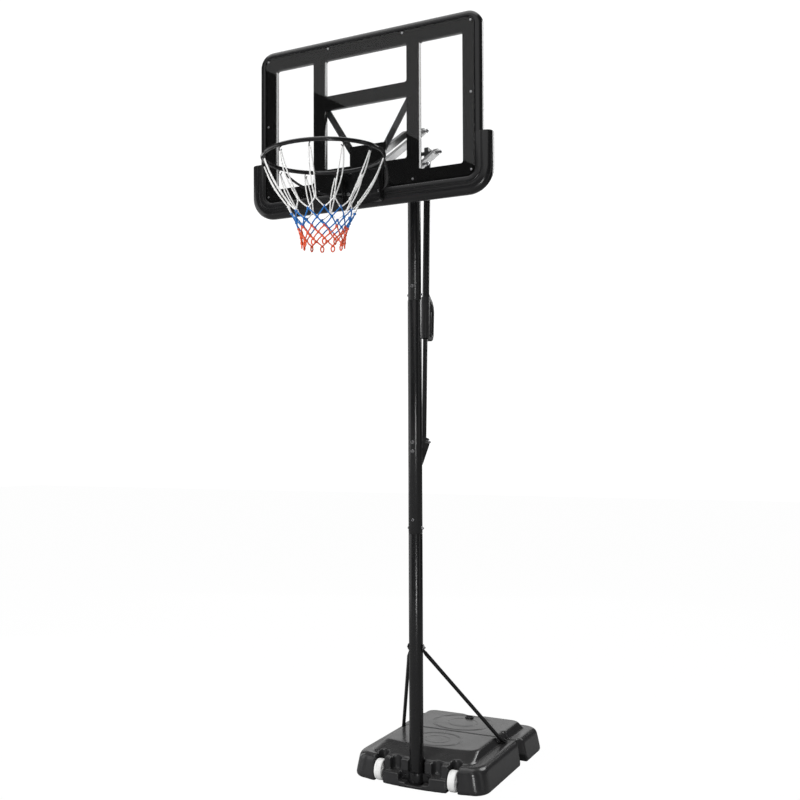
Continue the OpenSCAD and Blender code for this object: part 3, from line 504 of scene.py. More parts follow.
def coating(name, colour, shade, edge_scuff_and_highlight_tone, rough, grain, bump, scuff_and_highlight=0.5, dust=0.1, patch=7.0, **fixed):
    """A finish with grain, slow changes of tone, lighter raised edges (scuffing and a painted highlight) and a little
    dust.

    colour and shade are the light and dark tones, the edge tone is that of the raised edges, scuffed and with a
    painted highlight, rough the range of roughness, grain the grain's scale and bump its height in millimetres.
    """
    material = bpy.data.materials.new(name)
    material.use_nodes = True
    nodes, links = material.node_tree.nodes, material.node_tree.links
    shader = nodes["Principled BSDF"]
    for socket, value in fixed.items():
        shader.inputs[socket.replace("_", " ")].default_value = value
    surface = nodes.new("ShaderNodeGroup")
    surface.node_tree = grain_group
    surface.inputs["Grain Size"].default_value = grain
    surface.inputs["Patch Size"].default_value = patch
    edges = nodes.new("ShaderNodeGroup")
    edges.node_tree = edge_group
    edges.inputs["Start"].default_value = 0.53
    edges.inputs["Amount"].default_value = scuff_and_highlight
    film = nodes.new("ShaderNodeGroup")
    film.node_tree = dust_group
    film.inputs["Amount"].default_value = dust
    tone = nodes.new("ShaderNodeMix")
    tone.data_type = "RGBA"
    tone.inputs[6].default_value = (*shade, 1)
    tone.inputs[7].default_value = (*colour, 1)
    # Raised edges take the lighter edge tone: scuffing, and a painted highlight on the rounded edges
    scuff_and_highlight_mix = nodes.new("ShaderNodeMix")
    scuff_and_highlight_mix.data_type = "RGBA"
    scuff_and_highlight_mix.inputs[7].default_value = (*edge_scuff_and_highlight_tone, 1)
    dusty = nodes.new("ShaderNodeMix")
    dusty.data_type = "RGBA"
    dusty.inputs[7].default_value = (0.34, 0.33, 0.31, 1)
    sheen = nodes.new("ShaderNodeMapRange")
    sheen.inputs["From Min"].default_value = 0.3
    sheen.inputs["From Max"].default_value = 0.7
    sheen.inputs["To Min"].default_value = rough[0]
    sheen.inputs["To Max"].default_value = rough[1]
    relief = nodes.new("ShaderNodeBump")
    relief.inputs["Strength"].default_value = 1.0
    relief.inputs["Distance"].default_value = bump / 1000
    links.new(surface.outputs["Tone"], tone.inputs[0])
    links.new(tone.outputs[2], scuff_and_highlight_mix.inputs[6])
    links.new(edges.outputs["Mask"], scuff_and_highlight_mix.inputs[0])
    links.new(scuff_and_highlight_mix.outputs[2], dusty.inputs[6])
    links.new(film.outputs["Mask"], dusty.inputs[0])
    links.new(dusty.outputs[2], shader.inputs["Base Color"])
    links.new(surface.outputs["Tone"], sheen.inputs["Value"])
    links.new(sheen.outputs["Result"], shader.inputs["Roughness"])
    links.new(surface.outputs["Height"], relief.inputs["Height"])
    links.new(relief.outputs["Normal"], shader.inputs["Normal"])
    return material


def finish(piece, material):
    piece.data.materials.clear()
    piece.data.materials.append(material)


# The tank's lighter raised edges are a painted highlight as well as scuffing
tank_plastic = coating("tank plastic", (0.030, 0.030, 0.031), (0.021, 0.021, 0.022), (0.10, 0.10, 0.10),
                       (0.20, 0.28), 620, 0.12, scuff_and_highlight=0.5, dust=0.08)
for piece in (front_tank, front_emblem):
    finish(piece, tank_plastic)
    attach(piece, "root")
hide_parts("base_front_tank")

# ---------- rear tank ----------
# The rear water tank of the same moulding, slightly wider, whose tongue laps over the front tank.
# A waist and a tunnel lie between the tanks, and a hand notch is cut in its back.
back_low, back_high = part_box("base_rear_tank")
back_half = back_high.x
back_end = back_high.y - post_y
back_start = 0.552
rear_rings = [level(rounded_outline(back_half - side, back_start, back_end - behind, 0.006, 0.054), height)
              for height, side, ahead, behind in skirt]
rear_tank = skinned("rear_tank", rear_rings)
rear_top_rings = [level(rounded_outline(back_half - side, back_start + 0.001, back_end - behind, 0.004, 0.040),
                        height)
                  for height, side, ahead, behind in upper]
tongue_rings = [level([(-half, lap_line + 0.0012), (half, lap_line + 0.0012), (half, 0.60), (-half, 0.60)], height)
                for height, half in ((0.1206, 0.246), (0.1465, 0.229), (tank_top - 0.0002, 0.220))]
combine(rear_tank, skinned("rear_plateau", rear_top_rings), "UNION")
combine(rear_tank, skinned("tongue", tongue_rings), "UNION")
for side in (-1, 1):
    waist = Vector((side * (front_half + 0.003), post_y + 0.560, 0))
    combine(rear_tank, rod(waist - Vector((0, 0, 0.01)), waist + Vector((0, 0, 0.2)), 0.036))
combine(rear_tank, rod((-0.4, post_y + 0.568, 0), (0.4, post_y + 0.568, 0), 0.044, 64))
combine(rear_tank, rod((0, post_y + back_end - 0.032, 0.060), (0, post_y + back_end - 0.032, 0.2), 0.074, 64))
rear_fill = Vector((0, post_y + 0.712, tank_top))
combine(rear_tank, rod(rear_fill - Vector((0, 0, 0.02)), rear_fill + Vector((0, 0, 0.02)), 0.017))
moulded(rear_tank)
rear_emblem = emblem((0, post_y + 0.610, tank_top - 0.0004), (0.150, 0.140, 0.074))
rear_emblem.name = "rear_emblem"
for piece in (rear_tank, rear_emblem):
    finish(piece, tank_plastic)
    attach(piece, "root")
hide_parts("base_rear_tank")

# ---------- water ----------
# The ballast that fills each tank. It is sealed in and only shows if a tank is cut open.
water = bpy.data.materials.new("ballast water")
water.use_nodes = True
water_shader = water.node_tree.nodes["Principled BSDF"]
water_shader.inputs["Base Color"].default_value = (0.82, 0.92, 0.96, 1)
water_shader.inputs["Transmission Weight"].default_value = 1
water_shader.inputs["IOR"].default_value = 1.333
ripple = water.node_tree.nodes.new("ShaderNodeTexNoise")
ripple.inputs["Scale"].default_value = 9
ripple_where = water.node_tree.nodes.new("ShaderNodeTexCoord")
ripple_height = water.node_tree.nodes.new("ShaderNodeBump")
ripple_height.inputs["Distance"].default_value = 0.002
water.node_tree.links.new(ripple_where.outputs["Object"], ripple.inputs["Vector"])
water.node_tree.links.new(ripple.outputs["Fac"], ripple_height.inputs["Height"])
water.node_tree.links.new(ripple_height.outputs["Normal"], water_shader.inputs["Normal"])
for node in ("water_front", "water_rear"):
    finish(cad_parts[node], water)

# ---------- fill caps ----------
# Screw caps of black plastic that close the fill holes, with a finger bar across the top.
# The CAD parts are kept in shape, with every edge rounded as in the mould.


def softened(node, name, material, body, width=0.001, steps=3, angle=30, smooth_angle=35):
    """Copies a CAD node, turns its triangles into clean faces and rounds its edges."""
    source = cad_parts[node]
    take(source)
    bpy.ops.object.duplicate()
    piece = bpy.context.object
    piece.name = name
    piece.parent = None
    bpy.ops.object.mode_set(mode="EDIT")
    bpy.ops.mesh.select_all(action="SELECT")
    bpy.ops.mesh.remove_doubles(threshold=0.00002)
    bpy.ops.mesh.dissolve_limited(angle_limit=radians(2))
    bpy.ops.object.mode_set(mode="OBJECT")
    if width:
        modify(piece, "BEVEL", width=width, segments=steps, limit_method="ANGLE",
               angle_limit=radians(angle), use_clamp_overlap=True)
    smooth(piece, smooth_angle)
    finish(piece, material)
    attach(piece, body)
    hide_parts(node)
    return piece


black_plastic = coating("black plastic", (0.022, 0.022, 0.023), (0.014, 0.014, 0.015), (0.07, 0.07, 0.07),
                        (0.34, 0.44), 900, 0.12, scuff_and_highlight=0.4, dust=0.05)
softened("fill_cap_front", "front_fill_cap", black_plastic, "fill_cap_front", 0.0012)
softened("fill_cap_rear", "rear_fill_cap", black_plastic, "fill_cap_rear", 0.0012)

# ---------- wheels ----------
# Two white plastic transport wheels, turned with a raised tread on the rim, a dished web with
# ribs and a hub. They run on steel axles held by pressed caps.


def turned(name, profile, middle, axis, steps=48, angle=35):
    """Spins a closed outline of (radius, along) points about an axis through middle."""
    along = {"X": Vector((1, 0, 0)), "Y": Vector((0, 1, 0)), "Z": Vector((0, 0, 1))}[axis]
    across = {"X": Vector((0, 0, 1)), "Y": Vector((0, 0, 1)), "Z": Vector((1, 0, 0))}[axis]
    middle = Vector(middle)
    deselect()
    bpy.ops.mesh.primitive_circle_add(vertices=len(profile), fill_type="NOTHING")
    piece = bpy.context.object
    piece.name = name
    for vertex, (radius, reach) in zip(piece.data.vertices, profile):
        vertex.co = middle + across * radius + along * reach
    bpy.ops.object.mode_set(mode="EDIT")
    bpy.ops.mesh.select_all(action="SELECT")
    bpy.ops.mesh.spin(steps=steps, angle=2 * pi, center=middle, axis=along, use_auto_merge=False)
    bpy.ops.object.mode_set(mode="OBJECT")
    tidy_mesh(piece)
    smooth(piece, angle)
    return piece


wheel_half = (wheel_high.x - wheel_low.x) / 2
hub_half = wheel_half - 0.002
wheel_profile = [(0.0041, -hub_half), (0.010, -hub_half), (0.0118, -hub_half + 0.0015), (0.0122, -0.006),
                 (0.0135, -0.0045), (wheel_radius - 0.011, -0.0035), (wheel_radius - 0.0095, -0.005),
                 (wheel_radius - 0.0088, -wheel_half + 0.002), (wheel_radius - 0.007, -wheel_half),
                 (wheel_radius - 0.003, -wheel_half + 0.0006), (wheel_radius - 0.0006, -wheel_half + 0.004),
                 (wheel_radius, -0.007), (wheel_radius - 0.0014, -0.0062), (wheel_radius - 0.0014, -0.0048),
                 (wheel_radius, -0.004)]
wheel_profile += [(radius, -along) for radius, along in reversed(wheel_profile)]
wheel_plastic = coating("white wheel plastic", (0.93, 0.93, 0.92), (0.90, 0.90, 0.89), (0.95, 0.95, 0.94),
                        (0.32, 0.42), 500, 0.08, scuff_and_highlight=0.2, dust=0.05)
for side, label in ((-1, "left"), (1, "right")):
    hub = Vector((side * wheel_middle.x, wheel_middle.y, wheel_middle.z))
    wheel = turned("white_wheel_" + label, wheel_profile, hub, "X", 72)
    ribs = []
    for turn in range(6):
        rib = block(hub + Vector((-hub_half + 0.004, -0.0012, 0.011)),
                    hub + Vector((hub_half - 0.004, 0.0012, wheel_radius - 0.009)))
        modify(rib, "BEVEL", width=0.0005, segments=2)
        take(rib)
        bpy.ops.object.mode_set(mode="EDIT")
        bpy.ops.mesh.select_all(action="SELECT")
        bpy.ops.transform.rotate(value=turn * pi / 3, orient_axis="X", center_override=hub)
        bpy.ops.object.mode_set(mode="OBJECT")
        ribs.append(rib)
    join(wheel, *ribs)
    finish(wheel, wheel_plastic)
    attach(wheel, "wheel_" + label)
    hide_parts("wheel_" + label)

zinc = coating("zinc plating", (0.62, 0.62, 0.63), (0.46, 0.46, 0.48), (0.80, 0.80, 0.80),
               (0.24, 0.40), 1400, 0.02, scuff_and_highlight=0.4, dust=0.0, patch=60, Metallic=1.0)
softened("wheel_axles", "axles", zinc, "root", 0.0006)
softened("axle_caps", "pressed_axle_caps", zinc, "root", 0.0012)

# ---------- post ----------
# Three steel tubes, powder coated satin black. Each upper end is swaged in and sleeved by the
# next tube, and two bolts cross at each joint. A plastic cap closes the top.
satin_black = coating("satin powder coat", (0.010, 0.010, 0.0105), (0.007, 0.007, 0.0075), (0.05, 0.05, 0.05),
                      (0.22, 0.30), 420, 0.04, scuff_and_highlight=0.35, dust=0.02, patch=3)


def post_tube(name, node, sleeved):
    """A tube with rolled ends, and the swaged neck that its upper neighbour hides."""
    low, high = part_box(node)
    radius = (high.x - low.x) / 2
    neck = 0.120 if sleeved else 0.0
    shoulder = high.z - neck
    wall = 0.0016
    profile = [(radius - 0.0010, low.z), (radius, low.z + 0.0012), (radius, shoulder - 0.0030),
               (radius - 0.0004, shoulder - 0.0014), (radius - 0.0014, shoulder - 0.0002)]
    if sleeved:
        profile += [(radius - 0.0040, shoulder), (radius - 0.0040, high.z), (radius - 0.0056, high.z),
                    (radius - 0.0056, shoulder - 0.006)]
    else:
        profile += [(radius - wall, shoulder)]
    profile += [(radius - wall - 0.0008, shoulder - 0.010), (radius - wall, low.z)]
    tube = turned(name, profile, (0, post_y, 0), "Z", 64, 50)
    finish(tube, satin_black)
    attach(tube, "root")
    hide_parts(node)
    return tube


post_tube("post_lower", "pole_lower", True)
post_tube("post_middle", "pole_middle", True)
post_tube("post_upper", "pole_upper", False)
softened("pole_top_cap", "post_cap", black_plastic, "root", 0.0012)

# ---------- bolts of the post ----------
# Zinc plated hexagon bolts with pressed washers, nuts and rolled threads. They join the tubes and hold the struts'
# tops, and stand proud on both sides. The foot saddle, its bolts and the struts' foot bolts are black coated.


def solids(node):
    """The boxes of the separate solids in a CAD node."""
    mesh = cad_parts[node].data
    spots = {}
    group = []
    for vertex in mesh.vertices:
        key = tuple(round(value * 20000) for value in vertex.co)
        group.append(spots.setdefault(key, len(spots)))
    parent = list(range(len(spots)))

    def root_of(one):
        while parent[one] != one:
            parent[one] = parent[parent[one]]
            one = parent[one]
        return one

    for face in mesh.polygons:
        first = root_of(group[face.vertices[0]])
        for corner in face.vertices[1:]:
            parent[root_of(group[corner])] = first
    boxes = {}
    for vertex, spot in zip(mesh.vertices, group):
        low, high = boxes.setdefault(root_of(spot), (vertex.co.copy(), vertex.co.copy()))
        low[:] = [min(a, b) for a, b in zip(low, vertex.co)]
        high[:] = [max(a, b) for a, b in zip(high, vertex.co)]
    return sorted(boxes.values(), key=lambda box: (round(box[0].z, 3), round(box[0].x, 3)))


def hex_profile(across, start, end, chamfer_low, chamfer_high):
    """Outline of a hexagon head for a spin in six steps, chamfered at either end."""
    corner = across / 2 / cos(pi / 6)
    cut = 0.07 * across
    outline = [(0.0001, start)]
    outline += [(corner - cut, start), (corner, start + cut * 0.6)] if chamfer_low else [(corner, start)]
    outline += [(corner, end - cut * 0.6), (corner - cut, end)] if chamfer_high else [(corner, end)]
    return outline + [(0.0001, end)]


def bolt(middle, axis, start, end, tail, shank, across):
    """Head and washer before start, washer and nut after end, thread out to tail."""
    head = turned("head", hex_profile(across, start - 0.42 * across, start - 0.0008, True, False), middle, axis, 6, 20)
    nut = turned("nut", hex_profile(across, end + 0.0008, end + 0.5 * across, False, True), middle, axis, 6, 20)
    wide = across * 0.60
    washers = [turned("washer", [(shank * 0.9, at), (wide - 0.0004, at), (wide, at + 0.0004),
                                 (wide - 0.0004, at + 0.0008), (shank * 0.9, at + 0.0008)], middle, axis, 32)
               for at in (start - 0.0008, end)]
    pitch = shank * 0.30
    threads = [(0.0001, start - 0.001), (shank, start - 0.001), (shank, end)]
    turns = max(1, int((tail - end - 0.0006) / pitch))
    for turn in range(turns):
        at = end + turn * pitch
        threads += [(shank, at + pitch * 0.2), (shank * 0.86, at + pitch * 0.7)]
    threads += [(shank * 0.84, tail - 0.0003), (shank * 0.74, tail), (0.0001, tail)]
    stem = turned("stem", threads, middle, axis, 24, 25)
    return join(head, nut, stem, *washers)


def bolts(node, name, body, shank, axis=None):
    """Rebuilds every through bolt of a CAD node, from the size of its own solid."""
    made = []
    for low, high in solids(node):
        size = high - low
        way = axis or "XYZ"[max(range(3), key=lambda i: size[i])]
        i = "XYZ".index(way)
        across = min(size[j] for j in range(3) if j != i)
        middle = (low + high) / 2
        middle[i] = 0
        made.append(bolt(middle, way, low[i] + 0.42 * across, high[i] - 0.75 * across, high[i], shank, across))
    piece = join(*made)
    piece.name = name
    tidy_mesh(piece, 0.000001)
    finish(piece, zinc)
    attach(piece, body)
    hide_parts(node)
    return piece


bolts("pole_joint_bolts", "joint_bolts", "root", 0.004)
bolts("strut_pole_bolt", "strut_top_bolt", "root", 0.004)
softened("pole_foot_bracket", "foot_saddle", satin_black, "root", 0.0012)
softened("foot_bracket_bolts", "saddle_bolts", satin_black, "root", 0.0008)
softened("strut_base_bolts", "strut_foot_bolts", satin_black, "root", 0.0010)

# ---------- struts ----------
# Two steel tube braces with both ends pressed flat. They run from the cross bolt on the post
# down to the shoulders of the front tank.


def flattened(way, side_way, half_wide, half_thick, middle, power):
    """One ring of a tube that is pressed towards a flat bar."""
    thick_way = way.cross(side_way).normalized()
    ring = []
    for step in range(28):
        turn = 2 * pi * step / 28
        c, s = cos(turn), sin(turn)
        ring.append(middle + side_way * half_wide * abs(c) ** power * (1 if c > 0 else -1)
                    + thick_way * half_thick * abs(s) ** power * (1 if s > 0 else -1))
    return ring


for side, label in ((-1, "left"), (1, "right")):
    low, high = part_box("strut_" + label)
    inner_x = side * min(abs(low.x), abs(high.x))
    bolt_low, bolt_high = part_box("strut_pole_bolt")
    bolt_middle = (bolt_low + bolt_high) / 2
    top = Vector((inner_x + side * 0.0020, post_y, bolt_middle.z))
    foot = Vector((side * (max(abs(low.x), abs(high.x)) - 0.009), high.y, low.z + 0.0022))
    along_foot = Vector((0, 1, 0))
    bend_top = top + Vector((side * 0.006, 0.018, -0.030))
    bend_foot = foot - Vector((side * 0.002, 0.052, -0.008))
    slope = (bend_foot - bend_top).normalized()
    flat_way = Vector((0, 1, 0))
    wide_way = Vector((side, 0, 0))
    upright = Vector((0, 0, -1))
    middle_side = slope.cross(Vector((0, 0, 1))).normalized()
    rings = [
        flattened(upright, flat_way, 0.009, 0.0018, top + Vector((0, 0, 0.013)), 0.6),
        flattened(upright, flat_way, 0.0125, 0.0020, top + Vector((0, 0, 0.009)), 0.55),
        flattened(upright, flat_way, 0.0125, 0.0020, top + Vector((0, 0.002, -0.012)), 0.55),
        flattened(slope, slope.cross(Vector((side, 0, 0))).normalized() * -1, 0.0112, 0.0040, bend_top, 0.8),
        flattened(slope, slope.cross(Vector((side, 0, 0))).normalized() * -1, 0.0092, 0.0088,
                  bend_top + slope * 0.030, 1.0),
        flattened(slope, slope.cross(Vector((side, 0, 0))).normalized() * -1, 0.0090, 0.0090,
                  bend_top + slope * 0.060, 1.0),
    ]
    strut = skinned("strut_tube_" + label, rings)
    foot_rings = [
        flattened(slope, wide_way, 0.0090, 0.0090, bend_top + slope * 0.058, 1.0),
        flattened(slope, wide_way, 0.0090, 0.0090, bend_foot - slope * 0.050, 1.0),
        flattened(slope, wide_way, 0.0092, 0.0080, bend_foot - slope * 0.028, 1.0),
        flattened((slope + along_foot).normalized(), wide_way, 0.0098, 0.0034, bend_foot, 0.8),
        flattened(along_foot, wide_way, 0.0100, 0.0020, foot - Vector((0, 0.034, 0)), 0.55),
        flattened(along_foot, wide_way, 0.0100, 0.0020, foot - Vector((0, 0.004, 0)), 0.55),
        flattened(along_foot, wide_way, 0.0070, 0.0018, foot, 0.6),
    ]
    join(strut, skinned("strut_foot", foot_rings))
    smooth(strut, 40)
    finish(strut, satin_black)
    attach(strut, "root")
    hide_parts("strut_" + label)

# ---------- height adjuster ----------
# A telescopic tube pair on the back of the post. A pressed bracket holds its foot, the trigger in
# the D grip frees the lock plate, and the yoke at the top takes the arms' rear bolt.
softened("adjuster_bracket", "foot_bracket", satin_black, "root", 0.0010)
bolts("adjuster_bracket_bolts", "foot_bracket_hardware", "root", 0.004)
bolts("adjuster_foot_bolt", "foot_pivot_bolt", "root", 0.005)
softened("adjuster_inner_tube", "inner_tube", satin_black, "adjuster_inner", 0.0006)
softened("adjuster_outer_tube", "outer_tube", satin_black, "adjuster_outer", 0.0008)
softened("adjuster_guide_bush", "guide_bushes", black_plastic, "adjuster_outer", 0.0004)
softened("adjuster_yoke", "yoke_block", black_plastic, "adjuster_outer", 0.0016)
grip_plastic = coating("grip plastic", (0.020, 0.020, 0.021), (0.012, 0.012, 0.013), (0.06, 0.06, 0.06),
                       (0.40, 0.52), 1500, 0.16, scuff_and_highlight=0.4, dust=0.03)
softened("handle_grip", "d_grip", grip_plastic, "adjuster_outer", 0.0026, 4)
softened("handle_screws", "grip_screws", zinc, "adjuster_outer", 0.0004)
softened("trigger_lever", "trigger", grip_plastic, "trigger", 0.0014, 3)
softened("trigger_pin", "trigger_pivot_pin", zinc, "adjuster_outer", 0.0004)
softened("lock_plate", "gripping_plate", zinc, "adjuster_outer", 0.0004)
softened("lock_spring", "plate_spring", zinc, "adjuster_outer", 0, smooth_angle=80)

# ---------- arms ----------
# Two pairs of rectangular steel tubes with round ends, powder coated dark grey. The lower pair
# runs past the post as a crank, and bolts, washers and spacer sleeves make the pivots.
grey_coat = coating("grey powder coat", (0.20, 0.20, 0.203), (0.16, 0.16, 0.163), (0.36, 0.36, 0.36),
                    (0.28, 0.38), 420, 0.06, scuff_and_highlight=0.35, dust=0.03)
for level_name, body in (("lower", "lower_arms"), ("upper", "upper_arms")):
    for side in ("left", "right"):
        softened(f"{level_name}_arm_{side}", f"{level_name}_arm_tube_{side}", grey_coat, body,
                 0.0024, 4)
bolts("arm_pivot_bolts", "arm_pivot_hardware", "root", 0.005)
softened("arm_pivot_washers", "pivot_washers", black_plastic, "root", 0.0006)
softened("arm_rear_bolt", "crank_bolt", zinc, "lower_arms", 0.0006)
softened("arm_rear_spacers", "crank_spacers", black_plastic, "lower_arms", 0.0006)

# ---------- board carrier ----------
# A steel plate on the back of the board with two pressed cheeks for the arms' front bolts, and
# two flat bars that hold the target window's upper corners.
softened("board_back_plate", "carrier_plate", satin_black, "board", 0.0010)
softened("board_brackets", "carrier_cheeks", grey_coat, "board", 0.0012)
bolts("front_pivot_bolts", "front_pivot_hardware", "board", 0.005)
softened("front_pivot_spacers", "front_sleeves", black_plastic, "board", 0.0005)
softened("support_left", "support_bar_left", grey_coat, "board", 0.0014)
softened("support_right", "support_bar_right", grey_coat, "board", 0.0014)
softened("support_bolts", "support_hardware", zinc, "board", 0.0006)

# ---------- backboard frame ----------
# One black moulding with a rolled outer lip, flat bars round the four windows and shallow
# channels in its back. The clear sheet lies in front of the bars, inside the lip.
frame_low, frame_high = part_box("backboard_frame")
board_half = frame_high.x
board_back = frame_high.y
board_depth = frame_high.y - frame_low.y
lip_width = board_half - sheet_high.x
lip_corner = 0.062
panel_front = sheet_high.y + 0.0002


def board_ring(inset, forward, steps=14):
    """The frame's outline, drawn in by inset, at a given distance in front of its back."""
    radius = lip_corner - inset
    left, right = -board_half + inset, board_half - inset
    low, high = frame_low.z + inset, frame_high.z - inset
    middles = ((right - radius, high - radius, 0), (left + radius, high - radius, pi / 2),
               (left + radius, low + radius, pi), (right - radius, low + radius, 1.5 * pi))
    return [Vector((x + radius * cos(start + pi / 2 * step / steps), board_back - forward,
                    z + radius * sin(start + pi / 2 * step / steps)))
            for x, z, start in middles for step in range(steps + 1)]


lip_section = [(0.0016, 0.0), (0.0004, 0.0006), (0.0, 0.0018), (0.0, 0.0150), (0.0008, 0.0196), (0.0030, 0.0238),
               (0.0066, 0.0274), (0.0116, 0.0304), (0.0165, 0.0322), (0.0215, board_depth),
               (lip_width - 0.0050, board_depth - 0.0004), (lip_width - 0.0022, board_depth - 0.0018),
               (lip_width - 0.0008, board_depth - 0.0044), (lip_width - 0.0004, 0.0256),
               (lip_width + 0.0080, 0.0256), (lip_width + 0.0080, 0.0)]
lip = skinned("board_lip", [board_ring(inset, forward) for inset, forward in lip_section], capped=False)


def window(low_x, low_z, high_x, high_z, corner=0.009):
    """A cutter for one window, with rounded corners, through the panel's whole depth."""
    cutter = block((low_x, low_z, -0.06), (high_x, high_z, 0.06), corner)
    take(cutter)
    bpy.ops.object.mode_set(mode="EDIT")
    bpy.ops.mesh.select_all(action="SELECT")
    bpy.ops.transform.rotate(value=-pi / 2, orient_axis="X", center_override=(0, 0, 0))
    bpy.ops.object.mode_set(mode="OBJECT")
    for vertex in cutter.data.vertices:
        vertex.co = (vertex.co.x, board_back + vertex.co.y, abs(vertex.co.z))
    tidy_mesh(cutter)
    return cutter


target_half = 0.187
bar_outer = 0.241
window_outer = 0.426
window_top = 3.183
window_bottom = 2.657
target_bottom = 2.711
middle_bar = (2.968, 3.025)
panel_margin = lip_width + 0.004
panel = block((-board_half + panel_margin, panel_front, frame_low.z + panel_margin),
              (board_half - panel_margin, board_back, frame_high.z - panel_margin))
panel.name = "board_frame"
openings = [(-target_half, middle_bar[1], target_half, window_top),
            (-target_half, target_bottom, target_half, middle_bar[0])]
openings += [(min(side * bar_outer, side * window_outer), window_bottom,
              max(side * bar_outer, side * window_outer), window_top) for side in (-1, 1)]
for opening in openings:
    combine(panel, window(*opening))
combine(panel, lip, "UNION")
# Channels between thin ribs stiffen the back
rib = 0.004
channel_depth = 0.020
channels = [(-target_half + rib, middle_bar[0] + rib, target_half - rib, middle_bar[1] - rib),
            (-target_half + rib, window_top + rib, target_half - rib, frame_high.z - 0.012)]
for side in (-1, 1):
    spans = [(window_outer + rib, board_half - 0.012, window_bottom, window_top),
             (target_half + rib, bar_outer - rib, window_bottom + 0.060, middle_bar[0] - rib),
             (target_half + rib, bar_outer - rib, middle_bar[1] + rib, window_top - rib),
             (bar_outer + rib, window_outer - rib, window_top + rib, frame_high.z - 0.012),
             (bar_outer + rib, window_outer - rib, frame_low.z + 0.030, window_bottom - rib)]
    channels += [(min(side * a, side * b), low, max(side * a, side * b), high) for a, b, low, high in spans]
for low_x, low_z, high_x, high_z in channels:
    combine(panel, block((low_x, board_back - channel_depth, low_z), (high_x, board_back + 0.01, high_z)))
tidy_mesh(panel, 0.00002)
modify(panel, "BEVEL", width=0.0012, segments=2, limit_method="ANGLE", angle_limit=radians(50))
smooth(panel, 40)
frame_plastic = coating("frame plastic", (0.011, 0.011, 0.0115), (0.008, 0.008, 0.0085), (0.05, 0.05, 0.05),
                        (0.20, 0.28), 700, 0.03, scuff_and_highlight=0.3, dust=0.03, patch=4)
finish(panel, frame_plastic)
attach(panel, "board")
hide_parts("backboard_frame")

# ---------- clear sheet ----------
# A clear polycarbonate sheet, polished, with faint scuffs, screwed to the front of the frame.
clear = bpy.data.materials.new("clear sheet")
clear.use_nodes = True
clear_nodes, clear_links = clear.node_tree.nodes, clear.node_tree.links
clear_shader = clear_nodes["Principled BSDF"]
clear_shader.inputs["Base Color"].default_value = (0.995, 1, 1, 1)
clear_shader.inputs["Transmission Weight"].default_value = 1
clear_shader.inputs["IOR"].default_value = 1.5
scuffs = clear_nodes.new("ShaderNodeGroup")
scuffs.node_tree = grain_group
scuffs.inputs["Grain Size"].default_value = 900
scuffs.inputs["Patch Size"].default_value = 5
polish = clear_nodes.new("ShaderNodeMapRange")
polish.inputs["From Min"].default_value = 0.45
polish.inputs["From Max"].default_value = 0.8
polish.inputs["To Min"].default_value = 0.0
polish.inputs["To Max"].default_value = 0.03
clear_links.new(scuffs.outputs["Tone"], polish.inputs["Value"])
clear_links.new(polish.outputs["Result"], clear_shader.inputs["Roughness"])
softened("backboard_sheet", "clear_board", clear, "board", 0.0003, 1)
softened("sheet_screws", "board_screws", zinc, "board", 0.0004)

# ---------- bottom guard ----------
# A U-shaped buffer of black moulding round the board's lower edge, rounded on the outside, with a
# groove near its inner edge, wrapped over the frame's lip.
guard_low, guard_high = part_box("bottom_guard")
guard_reach = guard_high.x - board_half
guard_lap = 0.024
guard_front = board_back - guard_low.y
guard_back = board_back - guard_high.y
guard_section = [(-guard_lap, board_depth + 0.0004), (-guard_lap, guard_front - 0.0026),
                 (-guard_lap + 0.0010, guard_front - 0.0008), (-guard_lap + 0.0032, guard_front),
                 (-0.004, guard_front), (-0.002, guard_front - 0.0006), (0.0, guard_front - 0.0026),
                 (0.002, guard_front - 0.0026), (0.004, guard_front - 0.0004), (0.0075, guard_front),
                 (0.016, guard_front - 0.0008), (0.025, guard_front - 0.0040), (0.0325, guard_front - 0.0095),
                 (0.0375, guard_front - 0.0170), (guard_reach, guard_front - 0.0260),
                 (guard_reach, guard_back + 0.006), (guard_reach - 0.0018, guard_back + 0.0018),
                 (guard_reach - 0.006, guard_back), (0.005, guard_back), (0.0016, guard_back + 0.0012),
                 (0.0004, guard_back + 0.004), (0.0004, board_depth + 0.0004)]


def guard_ring(x, z, turn, shrink=1.0):
    """The guard's section at a point of the frame's edge, facing away from the board."""
    outward = Vector((cos(turn), 0, sin(turn)))
    centre_out, centre_forward = guard_reach * 0.4, guard_front * 0.6
    return [Vector((x, board_back, z)) + outward * (centre_out + (out - centre_out) * shrink)
            - Vector((0, 1, 0)) * (centre_forward + (forward - centre_forward) * shrink)
            for out, forward in guard_section]


corner_z = frame_low.z + lip_corner
guard_rings = [guard_ring(-board_half, guard_high.z, pi, 0.90), guard_ring(-board_half, guard_high.z - 0.0012, pi, 0.97),
               guard_ring(-board_half, guard_high.z - 0.0040, pi), guard_ring(-board_half, corner_z, pi)]
for step in range(1, 13):
    turn = pi + pi / 2 * step / 12
    guard_rings.append(guard_ring(-board_half + lip_corner + lip_corner * cos(turn),
                                  corner_z + lip_corner * sin(turn), turn))
for step in range(13):
    turn = 1.5 * pi + pi / 2 * step / 12
    guard_rings.append(guard_ring(board_half - lip_corner + lip_corner * cos(turn),
                                  corner_z + lip_corner * sin(turn), turn))
guard_rings += [guard_ring(board_half, guard_high.z - 0.0040, 0), guard_ring(board_half, guard_high.z - 0.0012, 0, 0.97),
                guard_ring(board_half, guard_high.z, 0, 0.90)]
guard = skinned("guard", guard_rings)
plate_low, plate_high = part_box("rim_plate")
carrier_low, carrier_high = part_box("board_back_plate")
combine(guard, block((plate_low.x - 0.001, guard_low.y - 0.02, guard_low.z - 0.01),
                     (plate_high.x + 0.001, frame_low.y - 0.0002, frame_low.z + 0.06)))
